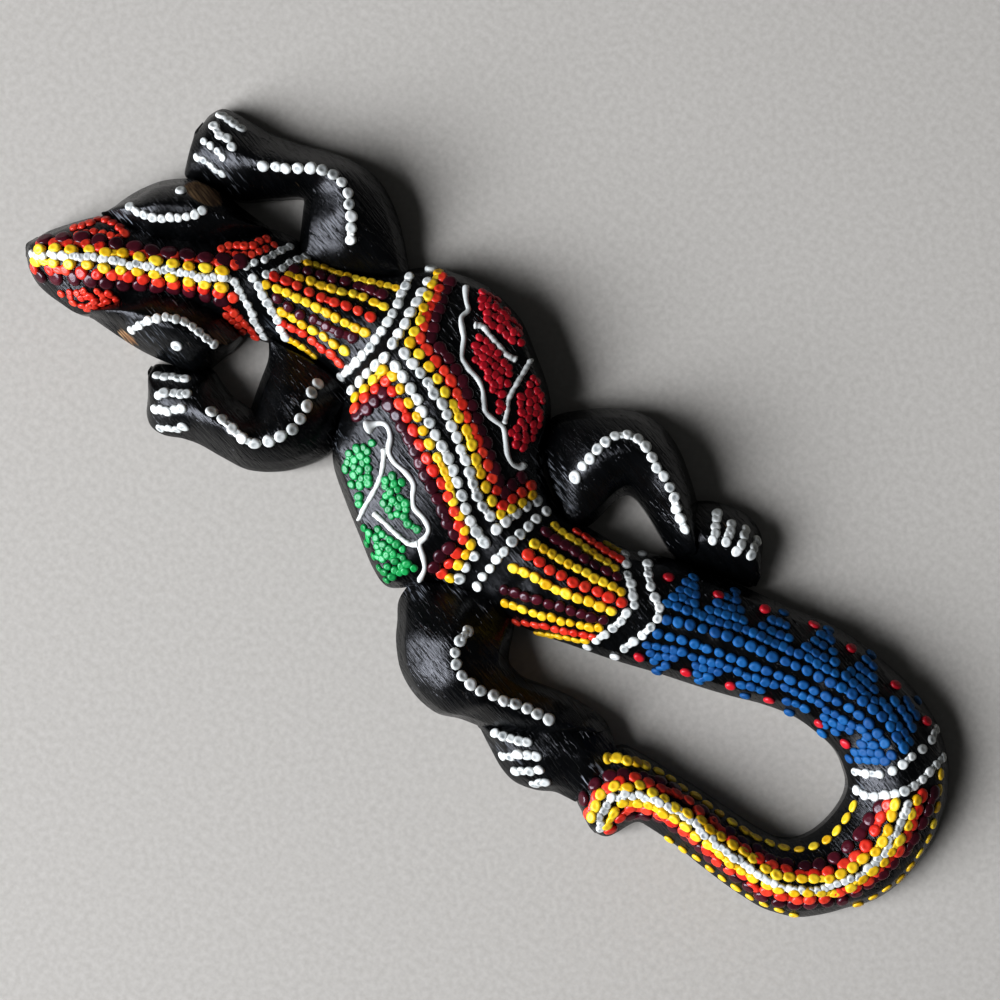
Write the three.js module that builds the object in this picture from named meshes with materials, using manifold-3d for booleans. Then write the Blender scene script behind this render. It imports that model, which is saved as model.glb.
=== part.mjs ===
// A flat-backed lizard carved from one board and finished with raised dots of thick paint.
//
// Units are millimetres. +X runs along the board from the nose towards the bend of the tail, +Y towards
// the lizard's right side, and +Z out of the flat back. The origin is at the bottom centre of the box.
//
// The carving is divided at its carved creases and painted cross bands into sections. A section is a loft
// through stations: each station is a straight cut across the limb, from one edge to the other, with a
// flat back, a short upright wall and a rounded crown. A run of raised paint is a low domed strip that
// follows the wood a fraction of a millimetre above it.

import * as THREE from 'three';
import { LoftGeometry } from 'three/addons/geometries/LoftGeometry.js';
import { mergeVertices } from 'three/addons/utils/BufferGeometryUtils.js';
import Module from 'manifold-3d';

const wasm = await Module();
wasm.setup();

// Driving dimensions.
// The outlines are drawn from the middle of the back; this moves them onto the box centre.
const DRAWING_SHIFT = new THREE.Vector2(-2.24, 1.16);
const GAP = 0.3; // clearance between neighbouring solids
const WALL_SHARE = 0.36; // share of the crown height that stands upright at the edge
const CROWN_POWER = 2.3; // 2 is an ellipse across the limb, higher is flatter on top
const CROWN_STOPS = [-0.96, -0.72, -0.36, 0.36, 0.72, 0.96]; // facet edges of the crown, edge to edge
const STEPS_PER_SPAN = 2; // loft steps between two stations
const CUTTER_TOP = 40; // a cutter stands taller than every section
const CUTTER_FLOOR = -2;
const PAINT_LIFT = 0.4; // height of a run's flat underside over the wood; about GAP where the wood curves
const PAINT_STEP = 3.2; // length of a loft step along a run of paint
const PROBE = 1.6; // how far to each side the wood is felt for its slope
const BEAD = { width: 2.5, height: 0.9 };
const ROW = { width: 1.8, height: 0.8 };
const RELIEF = { width: 1.5, height: 1.0 };
const STRIPE = { width: 2.2, height: 0.9 };

// Colours and finishes.
const BLACK = { color: 0x131417, roughness: 0.38, metalness: 0 };
const WHITE = { color: 0xe6e8e2, roughness: 0.45, metalness: 0 };
const YELLOW = { color: 0xe6b81c, roughness: 0.35, metalness: 0 };
const RED = { color: 0xd83a24, roughness: 0.35, metalness: 0 };
const BLUE = { color: 0x1562b0, roughness: 0.4, metalness: 0 };

// Sections in order of rank: a section is cut back from every earlier one that it meets.
// Each station is [edge x, edge y, other edge x, other edge y, crown height].
const SECTIONS = {
	trunk: [
		[-45.5, 36.8, -45, 1, 14.5], [-40, 39, -42.5, -3, 17.5], [-33, 40.8, -40, -9, 19],
		[-27, 40.5, -36.5, -14, 19.8], [-20.5, 39, -29.5, -19, 20], [-13.5, 34.8, -22, -23.7, 20],
		[-6.5, 30, -15, -28, 19.5], [-2, 25, -9.5, -29.6, 18.5], [0.5, 18.5, -5, -26.3, 17.5],
		[3.5, 14.3, -1.5, -22.3, 17], [8, 10.8, 5.5, -20.2, 16.2],
	],
	hip: [
		[8.4, 10.6, 5.9, -20.2, 16.2], [14, 8.6, 14, -19.3, 16.6], [20, 9.2, 21, -18.8, 16.6],
		[26, 9.8, 27.7, -17.2, 16.4], [31, 10.6, 33.5, -15.4, 16.3], [37, 13.4, 39, -13.8, 16.2],
		[43, 15.5, 44.5, -12, 16],
	],
	tail_base: [
		[43.4, 15.6, 44.9, -11.9, 16], [52, 17.9, 53.5, -8.9, 15.7], [61, 20, 62.5, -6, 15.3],
		[69, 21.6, 70.5, -3.2, 15], [77, 23.7, 77.5, -0.4, 14.8], [85.5, 24.8, 85, 1.6, 14.5],
		[95, 24.5, 92, 1.8, 14.2], [104, 23.5, 98.5, 0.9, 14], [112.5, 20.6, 103.2, -1.9, 13.8],
	],
	tail_bend: [
		[113, 20.4, 103.6, -2.2, 13.8], [118.5, 16.7, 105.4, -4.2, 13.6], [123.5, 11.6, 106.4, -6.8, 13.3],
		[127, 4.5, 106.7, -10, 13], [129, -4, 106.5, -13, 12.8], [129, -13, 106, -15.6, 12.6],
		[126.7, -21.1, 105, -18.4, 12.3], [121.5, -28.1, 103, -21.4, 12.1], [115, -35.2, 99.5, -23.7, 12],
		[107.4, -38.7, 94.5, -24.6, 12], [100, -39.6, 90, -24.9, 12],
	],
	tail_curl: [
		[99.6, -39.7, 89.6, -24.9, 12], [90, -39.6, 84, -25.1, 12], [81, -39.1, 77, -25.4, 12],
		[73.5, -39.2, 70.5, -26, 12],
	],
	neck: [
		[-76, 23.6, -68.5, -0.6, 14], [-71, 23.3, -63, 1.2, 13.6], [-65.5, 24, -57, 3, 13.6],
		[-59.5, 26.2, -51.5, 2.8, 13.8], [-53, 30, -48, 2, 14], [-45, 36, -44.5, 0.6, 14.5],
	],
	brow_right: [
		[-114.6, 3.2, -113.6, 1.6, 7], [-113, 7.3, -108.8, 2.5, 12.5], [-110.8, 12, -102.4, 3.6, 15.5],
		[-107.3, 17, -97.5, 6, 16.5], [-101.5, 21.2, -92.5, 8.8, 16.5], [-94.5, 22.2, -88, 12, 15.5],
		[-88, 22, -84.5, 16, 13.5], [-82.5, 22, -81.5, 20, 9],
	],
	brow_left: [
		[-102.5, -16, -103, -19.6, 8], [-98.5, -11.5, -98.5, -19.4, 13], [-94.1, -6.2, -93, -19.2, 15.5],
		[-88.3, -3.4, -87, -18.6, 16.3], [-82, -2, -80.5, -17.1, 16], [-76.5, -1.9, -74.8, -15, 14.5],
		[-72, -2.4, -72.4, -8, 10],
	],
	head: [
		[-124.8, -12.8, -124.5, -15.6, 7], [-122, -7.6, -121.5, -19.4, 11], [-118.5, -3, -116.5, -21.1, 13.5],
		[-114.8, 1, -111, -21.4, 15], [-111, 4, -105, -20, 16.2], [-104, 8, -98, -16, 17],
		[-97, 12, -91, -12, 17], [-89.5, 18, -84, -8, 16.6], [-82.5, 21.6, -76, -3, 15.6],
		[-76.4, 23.4, -69, -0.8, 14.4],
	],
	front_right_leg: [
		[-49, 34, -72.5, 21.5, 9], [-52, 35.8, -73.8, 25, 13], [-55.5, 39.4, -74.6, 28.4, 15],
		[-60, 43.3, -75.6, 31, 15.5], [-66, 46.2, -76.8, 32.4, 15.5], [-72, 47, -78, 32.8, 15.5],
		[-78, 45.8, -79.8, 32.6, 15.2], [-84.5, 43.4, -82.6, 31.4, 14.6], [-89.9, 41.7, -86, 29, 14],
		[-94.7, 40.5, -89.5, 24.8, 13.4], [-99, 39.8, -94, 22.3, 12.6], [-103.5, 39.5, -98.8, 21.4, 11.4],
		[-107, 38.7, -102.8, 20.4, 9.8], [-108.6, 36, -105.6, 20.6, 7.4], [-109, 33.5, -107.4, 27, 5.6],
	],
	front_left_leg: [
		[-43.5, 1.5, -65.5, -0.2, 9], [-41.5, -3.8, -63.2, -3.4, 13], [-39.7, -8.6, -62.2, -7.6, 15],
		[-39.4, -13.5, -61, -11.6, 15.5], [-41.8, -18, -60.2, -14.2, 15.5], [-46, -22.8, -60.4, -14.8, 15.5],
		[-52, -26.7, -61.4, -15, 15.2], [-58.5, -27.9, -63.6, -15, 14.6], [-64.6, -28.6, -66.6, -14.9, 14],
		[-69, -29.9, -69.8, -13.9, 13.2], [-73, -31.8, -73.4, -12.8, 12.4], [-76.6, -32, -77.4, -15.4, 11.2],
		[-79.4, -30.2, -81.6, -17.6, 9.6], [-81.5, -27, -84.4, -19.4, 7.6], [-83, -24.4, -85, -20.6, 5.6],
	],
	rear_right_leg: [
		[-1.8, 22, 19.5, 7.5, 10], [-0.4, 27, 21, 11.2, 14], [3.4, 31, 21.4, 15, 16.2],
		[8.2, 34.9, 22, 18.4, 16.8], [14, 37.9, 23.2, 20.6, 16.8], [20, 38.6, 25.6, 21.1, 16.4],
		[26, 36.9, 29.2, 20.1, 15.6], [31, 34, 33.6, 18.3, 14.6], [36, 30.3, 38.2, 16.4, 13.4],
		[40, 26.8, 42.2, 15.6, 12.2], [42.6, 22.6, 43.8, 17, 10.5],
	],
	rear_right_foot: [
		[36.6, 28.6, 42.4, 14.8, 10], [39.8, 31, 46, 16, 11.6], [44, 32.8, 49.6, 17.4, 11.8],
		[48.4, 33.5, 53, 18.4, 11.2], [52.4, 32.8, 56.6, 19.4, 10], [55.7, 30.6, 59.2, 20, 8.4],
		[58, 27, 60.3, 21.2, 6.2],
	],
	rear_left_leg: [
		[-5.5, -27, 18.5, -17.5, 10], [-5, -31.5, 20.3, -20.5, 14], [-3, -34.8, 21.5, -23, 16.2],
		[-0.3, -39, 22.6, -25.4, 16.8], [4.4, -43.6, 24, -27.3, 16.8], [10.5, -46.4, 26.4, -28.2, 16.4],
		[17, -46.9, 29.2, -28.3, 15.8], [22.6, -44.7, 32.6, -27.4, 15], [28.4, -43.1, 37.2, -26.3, 14],
		[34, -40, 42, -25.4, 12.8], [39.8, -36.6, 46.6, -25, 11],
	],
	rear_left_foot: [
		[29.4, -43.4, 30.4, -45.2, 6], [33, -40, 34.2, -47.4, 9], [38, -37, 39.2, -49.2, 10.6],
		[43, -32, 43.8, -49, 11.6], [47.4, -25.2, 48, -47.2, 12], [51, -25.4, 51.4, -45.7, 11.6],
		[54.6, -27.4, 54.8, -44.6, 10.6],
	],
	tail_tip: [
		[73.2, -39.3, 70.2, -26, 12], [70.4, -40.6, 62.6, -26.7, 12], [69, -42.4, 56.4, -28, 11.6],
		[68, -44.2, 54.8, -34, 11], [67, -46.4, 54.8, -40, 10.2], [65.2, -48, 55.6, -44.8, 9],
		[62.6, -48.2, 59, -46.8, 6.5],
	],
};

// Runs of raised paint. Each lies on the section that its name starts with, or on several in turn.
const BEAD_LINES = {
	eye_dot_right: { finish: WHITE, shape: BEAD, path: [[-104.6, 16.4], [-102.4, 17.4]] },
	eye_dot_left: { finish: WHITE, shape: BEAD, path: [[-84, -13], [-81.6, -12.8]] },
	eye_arc_right: {
		finish: WHITE, shape: BEAD,
		path: [[-110, 7], [-105.6, 8.1], [-101.6, 10.5], [-98, 13.9], [-96.7, 16]],
	},
	eye_arc_left: {
		finish: WHITE, shape: BEAD,
		path: [[-93.3, -16], [-92.1, -12.7], [-88.3, -8.9], [-83.5, -6.9], [-76, -7.4]],
	},
	front_right_leg_beads: {
		finish: WHITE, shape: BEAD,
		path: [[-91, 33.2], [-86.1, 36.3], [-81.3, 39.5], [-76, 41.2], [-71, 38.8], [-66.8, 34.8], [-64.6, 31.4]],
	},
	front_left_leg_beads: {
		finish: WHITE, shape: BEAD,
		path: [[-50.8, -3], [-49.5, -7.9], [-49.9, -14.3], [-53.5, -19.9], [-58.2, -21.4], [-67, -20.9]],
	},
	rear_right_leg_beads: {
		finish: WHITE, shape: BEAD,
		path: [[11, 18], [11.4, 25], [14.6, 31.8], [20, 32.1], [27.7, 29.2], [33.1, 26.4], [38, 23]],
	},
	rear_left_leg_beads: {
		finish: WHITE, shape: BEAD,
		path: [[11.7, -27.4], [12.3, -32.5], [17.1, -36.5], [23.3, -36.3], [30, -34.6], [36.5, -33.6]],
	},
	head_centre_row: {
		finish: WHITE, shape: ROW,
		path: [[-122.6, -15], [-112.7, -10.2], [-105, -4.1], [-96.7, 0.4], [-88.3, 4.2], [-83, 7]],
	},
	head_yellow_row_right: {
		finish: YELLOW, shape: ROW,
		path: [[-121.8, -12], [-113.4, -7.2], [-106, -1.6], [-98, 2.4], [-90, 6.2]],
	},
	head_yellow_row_left: {
		finish: YELLOW, shape: ROW,
		path: [[-120.6, -16.6], [-111.6, -12.8], [-103.6, -7], [-96, -2.8], [-87.4, 1.2]],
	},
	right_panel_white_border: {
		finish: WHITE, shape: ROW,
		path: [[-40, 17], [-28.4, 14.1], [-15, 7.2], [-2.6, -1.2]],
	},
	right_panel_yellow_border: {
		finish: YELLOW, shape: ROW,
		path: [[-37.5, 19.5], [-27.4, 16.4], [-13.8, 9.3], [-2.6, 1.8]],
	},
	right_panel_red_border: {
		finish: RED, shape: ROW,
		path: [[-36, 21.5], [-26.4, 18.6], [-12.7, 11.4], [-2.6, 4.6]],
	},
	left_panel_white_border: {
		finish: WHITE, shape: ROW,
		path: [[-41.2, 13.4], [-29, 9.5], [-15.6, 2.8], [-2.4, -6]],
	},
	left_panel_yellow_border: {
		finish: YELLOW, shape: ROW,
		path: [[-38.5, 10.4], [-30.2, 7.3], [-16.8, 0.6], [-4.5, -7.6]],
	},
	left_panel_red_border: {
		finish: RED, shape: ROW,
		path: [[-37.5, 7.9], [-31.3, 5.1], [-18, -1.6], [-6.6, -9.2]],
	},
	tail_blue_row_outer: {
		finish: BLUE, shape: ROW,
		path: [[48.1, 3.2], [59.7, 6.8], [72.2, 10], [84.7, 12.8], [96.2, 13.7], [108, 11.8]],
	},
	tail_blue_row_inner: {
		finish: BLUE, shape: ROW,
		path: [[48.1, -1], [60, 3], [71.9, 6.2], [84.7, 9], [96, 10.4], [106, 8.4]],
	},
	right_panel_relief_line: {
		finish: WHITE, shape: RELIEF,
		path: [
			[-35.8, 37.6], [-32.5, 33.8], [-32, 30.6], [-28, 25.7], [-21, 22.1], [-15, 17], [-9.5, 16.4],
			[-5, 11.9], [-1, 11.8],
		],
	},
	right_panel_relief_branch: {
		finish: WHITE, shape: RELIEF, path: [[-10.4, 19.4], [-12.4, 22.5], [-13.3, 30.2], [-13.7, 32.6]],
	},
	right_panel_relief_short: {
		finish: WHITE, shape: RELIEF, path: [[-29.4, 31.8], [-27, 32.8], [-18.5, 30.7], [-16.6, 31.2]],
	},
	left_panel_relief_line: {
		finish: WHITE, shape: RELIEF,
		path: [
			[-35.4, -2.4], [-32.2, 0.6], [-28.1, -3.8], [-18.8, -6.7], [-15.3, -11.1], [-9.5, -13.6],
			[-9.2, -16.8], [-5.4, -21], [-4.9, -24],
		],
	},
	left_panel_relief_branch: {
		finish: WHITE, shape: RELIEF, path: [[-12, -18.7], [-15.3, -18.5], [-22.6, -17.7]],
	},
	left_panel_relief_second: {
		finish: WHITE, shape: RELIEF, path: [[-29, -6.4], [-27.1, -9], [-25.2, -14.7], [-24.4, -20.6]],
	},
};

// Toe stripes run from the tip of the toe towards the leg, one to a toe.
const TOE_STRIPES = {
	front_right: [
		[[-105.4, 36.6], [-100.4, 36.6]], [[-106, 33.4], [-99.6, 32.6]], [[-105.3, 29.6], [-100, 29.2]],
		[[-104.2, 25.8], [-98, 25.9]],
	],
	front_left: [
		[[-82, -21.8], [-76.6, -18.4]], [[-79.6, -24.8], [-74.6, -21]], [[-77.8, -28], [-73.3, -24.6]],
		[[-74.4, -30.3], [-70.2, -27.6]],
	],
	rear_right: [
		[[43.4, 29.6], [45.9, 24]], [[47.4, 29.9], [48.8, 25.4]], [[50.7, 30.3], [52.2, 25.4]],
		[[54.4, 29.4], [55.2, 26]],
	],
	rear_left: [
		[[32.2, -42.8], [38.6, -40.2]], [[35, -45.6], [42.4, -41.8]], [[40.8, -47.3], [44.3, -43.8]],
		[[46, -46.6], [48, -44.6]],
	],
};

// ---------------------------------------------------------------------------------------------------

/** A smooth run through the stations: [one edge, other edge, crown height] at every loft step. */
function smoothStations(stations) {

	const edge = new THREE.CatmullRomCurve3(stations.map(([x, y]) => new THREE.Vector3(x, y, 0)));
	const other = new THREE.CatmullRomCurve3(stations.map(([, , x, y]) => new THREE.Vector3(x, y, 0)));
	const crown = new THREE.CatmullRomCurve3(stations.map((s, i) => new THREE.Vector3(i, s[4], 0)));
	const steps = (stations.length - 1) * STEPS_PER_SPAN;

	return Array.from({ length: steps + 1 }, (_, i) => {

		const t = i / steps;
		const shift = new THREE.Vector3(DRAWING_SHIFT.x, DRAWING_SHIFT.y, 0);
		return [edge.getPoint(t).add(shift), other.getPoint(t).add(shift), crown.getPoint(t).y];

	});

}

/** The cut across a limb: along the back, up one wall, over the crown and down the other wall. */
function carvedProfile([edge, other, height]) {

	const wall = height * WALL_SHARE;
	const over = CROWN_STOPS.map((s) => {

		const rise = Math.pow(1 - Math.pow(Math.abs(s), CROWN_POWER), 1 / CROWN_POWER);
		return edge.clone().lerp(other, (s + 1) / 2).setZ(wall + (height - wall) * rise);

	});
	return [other.clone(), edge.clone(), edge.clone().setZ(wall), ...over, other.clone().setZ(wall)];

}

/** Six times the signed volume under the triangles of an indexed geometry. */
function signedVolume(geometry) {

	const { position } = geometry.attributes;
	const [a, b, c] = [new THREE.Vector3(), new THREE.Vector3(), new THREE.Vector3()];
	let sum = 0;
	for (let i = 0; i < geometry.index.count; i += 3) {

		a.fromBufferAttribute(position, geometry.index.getX(i));
		b.fromBufferAttribute(position, geometry.index.getX(i + 1));
		c.fromBufferAttribute(position, geometry.index.getX(i + 2));
		sum += a.dot(b.cross(c));

	}

	return sum;

}

/** A closed loft through the profiles with its faces out, whichever way round the profiles run. */
function closedLoft(profiles) {

	const loft = (rows) => {

		const lofted = new LoftGeometry(rows, { capStart: true, capEnd: true });
		const geometry = new THREE.BufferGeometry().copy(lofted);
		geometry.deleteAttribute('normal');
		geometry.deleteAttribute('uv');
		return mergeVertices(geometry, 1e-4);

	};

	const geometry = loft(profiles);
	return signedVolume(geometry) > 0 ? geometry : loft(profiles.map((row) => [...row].reverse()));

}

function toSolid(geometry) {

	const mesh = new wasm.Mesh({
		numProp: 3,
		vertProperties: Float32Array.from(geometry.attributes.position.array),
		triVerts: Uint32Array.from(geometry.index.array),
	});
	return new wasm.Manifold(mesh);

}

function toGeometry(solid) {

	const { vertProperties, triVerts } = solid.getMesh();
	const geometry = new THREE.BufferGeometry();
	geometry.setAttribute('position', new THREE.BufferAttribute(Float32Array.from(vertProperties), 3));
	geometry.setIndex(Array.from(triVerts));
	return geometry;

}

/** A tall prism over a section's outline, wider and longer than it by the gap. */
function cutterOver(run) {

	const last = run.length - 1;
	const rows = run.map(([edge, other], i) => {

		const out = other.clone().sub(edge).setLength(GAP);
		const ahead = run[Math.min(i + 1, last)][0].clone().add(run[Math.min(i + 1, last)][1]);
		const behind = run[Math.max(i - 1, 0)][0].clone().add(run[Math.max(i - 1, 0)][1]);
		const along = ahead.sub(behind).setLength(i === 0 ? -GAP : GAP);
		if (i > 0 && i < last) along.set(0, 0, 0);
		const near = edge.clone().sub(out).add(along);
		const far = other.clone().add(out).add(along);
		return [
			far.clone().setZ(CUTTER_FLOOR), near.clone().setZ(CUTTER_FLOOR),
			near.clone().setZ(CUTTER_TOP), far.clone().setZ(CUTTER_TOP),
		];

	});
	return toSolid(closedLoft(rows));

}

/** The one body worth keeping after a cut: loose slivers beside a crease are dropped. */
function largestBody(solid) {

	const bodies = solid.decompose();
	return bodies.reduce((best, body) => (body.volume() > best.volume() ? body : best));

}

/** Each section, cut back from the sections of higher rank that it meets. */
function carveSections() {

	const cutters = [];
	const carved = {};
	for (const [name, stations] of Object.entries(SECTIONS)) {

		const run = smoothStations(stations);
		let solid = toSolid(closedLoft(run.map(carvedProfile)));
		for (const cutter of cutters) solid = solid.subtract(cutter);
		carved[name] = toGeometry(largestBody(solid));
		cutters.push(cutterOver(run));

	}

	return carved;

}

function namedMesh(name, geometry, finish) {

	geometry.computeVertexNormals();
	const mesh = new THREE.Mesh(geometry, new THREE.MeshStandardMaterial(finish));
	mesh.name = name;
	return mesh;

}

/** Feels the wood from above: the height at a place, or null beside the carving. */
function makeFeeler(woodMeshes) {

	const raycaster = new THREE.Raycaster();
	const down = new THREE.Vector3(0, 0, -1);
	return (x, y) => {

		raycaster.set(new THREE.Vector3(x, y, CUTTER_TOP), down);
		const hits = raycaster.intersectObjects(woodMeshes, false);
		return hits.length ? hits[0].point.z : null;

	};

}

/** The wood's outward direction at a place, from how its height changes to each side. */
function slopeNormal(feel, x, y, z) {

	const at = (dx, dy) => feel(x + dx, y + dy) ?? z;
	return new THREE.Vector3(
		at(-PROBE, 0) - at(PROBE, 0), at(0, -PROBE) - at(0, PROBE), 2 * PROBE,
	).normalize();

}

/** A domed strip of paint that follows the wood along a path. */
function paintStrip(feel, path, shape) {

	const drawn = path.map(([x, y]) => new THREE.Vector3(x + DRAWING_SHIFT.x, y + DRAWING_SHIFT.y, 0));
	const curve = new THREE.CatmullRomCurve3(drawn);
	const steps = Math.max(2, Math.round(curve.getLength() / PAINT_STEP));
	const half = shape.width / 2;
	const profiles = curve.getSpacedPoints(steps).map((place, i) => {

		const z = feel(place.x, place.y);
		const up = slopeNormal(feel, place.x, place.y, z);
		const side = curve.getTangentAt(i / steps).cross(up).normalize();
		const point = (across, above) => place.clone().setZ(z)
			.addScaledVector(side, across * half).addScaledVector(up, PAINT_LIFT + above * shape.height);
		return [point(-1, 0), point(-0.8, 0.65), point(0, 1), point(0.8, 0.65), point(1, 0)];

	});
	return closedLoft(profiles);

}

const figure = new THREE.Group();
const wood = Object.entries(carveSections()).map(([name, geometry]) => namedMesh(name, geometry, BLACK));
figure.add(...wood);
figure.updateMatrixWorld(true);

const feel = makeFeeler(wood);
for (const [name, { finish, shape, path }] of Object.entries(BEAD_LINES)) {

	figure.add(namedMesh(name, paintStrip(feel, path, shape), finish));

}

for (const [foot, stripes] of Object.entries(TOE_STRIPES)) {

	stripes.forEach((path, i) => {

		figure.add(namedMesh(`${foot}_toe_stripe_${i + 1}`, paintStrip(feel, path, STRIPE), WHITE));

	});

}

export default figure;
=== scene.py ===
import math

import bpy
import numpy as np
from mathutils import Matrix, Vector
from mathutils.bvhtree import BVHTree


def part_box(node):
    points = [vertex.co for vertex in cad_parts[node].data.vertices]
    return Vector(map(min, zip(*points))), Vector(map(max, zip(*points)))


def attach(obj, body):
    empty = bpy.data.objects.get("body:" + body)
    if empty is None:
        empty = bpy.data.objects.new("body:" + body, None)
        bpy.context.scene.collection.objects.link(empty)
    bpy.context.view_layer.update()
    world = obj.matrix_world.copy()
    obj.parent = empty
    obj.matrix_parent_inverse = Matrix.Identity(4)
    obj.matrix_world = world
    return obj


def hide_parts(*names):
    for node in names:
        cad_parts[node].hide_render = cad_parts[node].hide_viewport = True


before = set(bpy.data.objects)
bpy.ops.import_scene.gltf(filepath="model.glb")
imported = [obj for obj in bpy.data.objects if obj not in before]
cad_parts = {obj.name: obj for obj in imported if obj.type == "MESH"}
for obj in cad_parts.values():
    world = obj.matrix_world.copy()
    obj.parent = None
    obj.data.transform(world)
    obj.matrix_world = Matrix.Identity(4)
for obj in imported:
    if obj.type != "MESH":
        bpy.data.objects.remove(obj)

# A lizard carved from one flat board, varnished black and covered with raised dots of thick acrylic paint.
#
# Lengths in the tables are millimetres in a flat drawing of the figure, whose X runs along the board
# towards the bend of the tail and whose Y points to the lizard's right side. placed() turns drawing
# places into metres in the frame. Wood is lofted through straight cuts across the limb; paint is beads and
# squeezed lines set down on the wood wherever it is highest.

MM = 0.001
RNG = np.random.default_rng(7)
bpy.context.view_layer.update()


# ---------------------------------------------------------------- the carving's stations
# Each station is a cut across the limb: one edge (x, y), the other edge (x, y), the crown's height, and,
# where a neighbour's valley meets it, how high the wall stands at either edge.

WALL_SHARE = 0.33       # the upright wall's share of the crown height, where no wall is given
CHAMFER = 2.3           # width of the knife-cut slope between wall and crown
ARRIS_SHARE = 0.45      # how far up from wall to crown the slope ends in its arris
CROWN_POWER = 1.6       # 1 makes a straight-sided ridge, 2 a round crown
BACK_BEVEL = 0.5        # sanded corner around the flat back

BODY = {
    "head": [
        (-124.5, -11.6, -123.9, -17, 8.5, 3.4, 3.4), (-122.9, -8.6, -121.3, -19, 11.6),
        (-119.6, -4.2, -117, -20.7, 13.8), (-114.8, 1, -111, -21, 15.2, 6, 5),
        (-109.5, 3.2, -104.6, -20, 16.2, 9.5, 6), (-103.5, 4.4, -99.8, -13.8, 16.8, 10.5, 9),
        (-98, 6.8, -94.8, -8.2, 16.8, 10.5, 10.5), (-92, 10.2, -88.5, -4, 16.6, 10.5, 10.5),
        (-86.6, 14.8, -82.5, -2.6, 16, 10, 10.5), (-81.5, 21.4, -76, -2, 15.2, 7, 9),
    ],
    "neck": [
        (-76.2, 23.5, -69, -0.8, 14.4), (-71, 23.3, -63, 1.2, 13.8), (-65.5, 24, -57, 3, 13.8),
        (-59.5, 26.2, -51.5, 2.8, 14), (-53, 30, -48, 2, 14.2),
    ],
    "trunk": [
        (-45.5, 36.8, -45, 1, 15), (-40, 39, -42.5, -3, 17.5), (-33, 40.8, -40, -9, 19),
        (-27, 40.5, -36.5, -14, 19.8), (-20.5, 39, -29.5, -19, 20), (-13.5, 34.8, -22, -23.7, 20),
        (-6.5, 30, -15, -28, 19.5), (-2, 25, -9.5, -29.6, 18.5), (0.5, 18.5, -5, -26.3, 17.5),
        (3.5, 14.3, -1.5, -22.3, 17),
    ],
    "hip": [
        (8, 10.8, 5.5, -20.2, 16.4), (14, 8.6, 14, -19.3, 16.6), (20, 9.2, 21, -18.8, 16.6),
        (26, 9.8, 27.7, -17.2, 16.4), (31, 10.6, 33.5, -15.4, 16.3), (37, 13.4, 39, -13.8, 16.2),
    ],
    "tail_base": [
        (43.2, 15.6, 44.7, -12, 16), (52, 17.9, 53.5, -8.9, 15.7), (61, 20, 62.5, -6, 15.3),
        (69, 21.6, 70.5, -3.2, 15), (77, 23.7, 77.5, -0.4, 14.8), (85.5, 24.8, 85, 1.6, 14.5),
        (95, 24.5, 92, 1.8, 14.2), (104, 23.5, 98.5, 0.9, 14),
    ],
    "tail_bend": [
        (112.8, 20.5, 103.4, -2, 13.8), (118.5, 16.7, 105.4, -4.2, 13.6), (123.5, 11.6, 106.4, -6.8, 13.3),
        (127, 4.5, 106.7, -10, 13), (129, -4, 106.5, -13, 12.8), (129, -13, 106, -15.6, 12.6),
        (126.7, -21.1, 105, -18.4, 12.3), (121.5, -28.1, 103, -21.4, 12.1), (115, -35.2, 99.5, -23.7, 12),
        (107.4, -38.7, 94.5, -24.6, 12),
    ],
    "tail_curl": [
        (99.8, -39.6, 89.8, -24.9, 12), (90, -39.6, 84, -25.1, 12), (81, -39.1, 77, -25.4, 12),
    ],
    "tail_tip": [
        (73.4, -39.4, 70.6, -25.9, 12), (70.6, -39.9, 62.8, -26.5, 12),
        (69.2, -42, 57, -27.8, 11.6, 3.8, 6.5),
        (68.2, -44.4, 54.2, -33.6, 11.2, 3.6, 8), (67.1, -46.6, 53.8, -39.8, 10.6, 3.4, 7.5),
        (65.8, -47.6, 55.4, -43.8, 9.8, 3, 4.4), (64.2, -48, 58.6, -45.9, 8),
    ],
}

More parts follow.
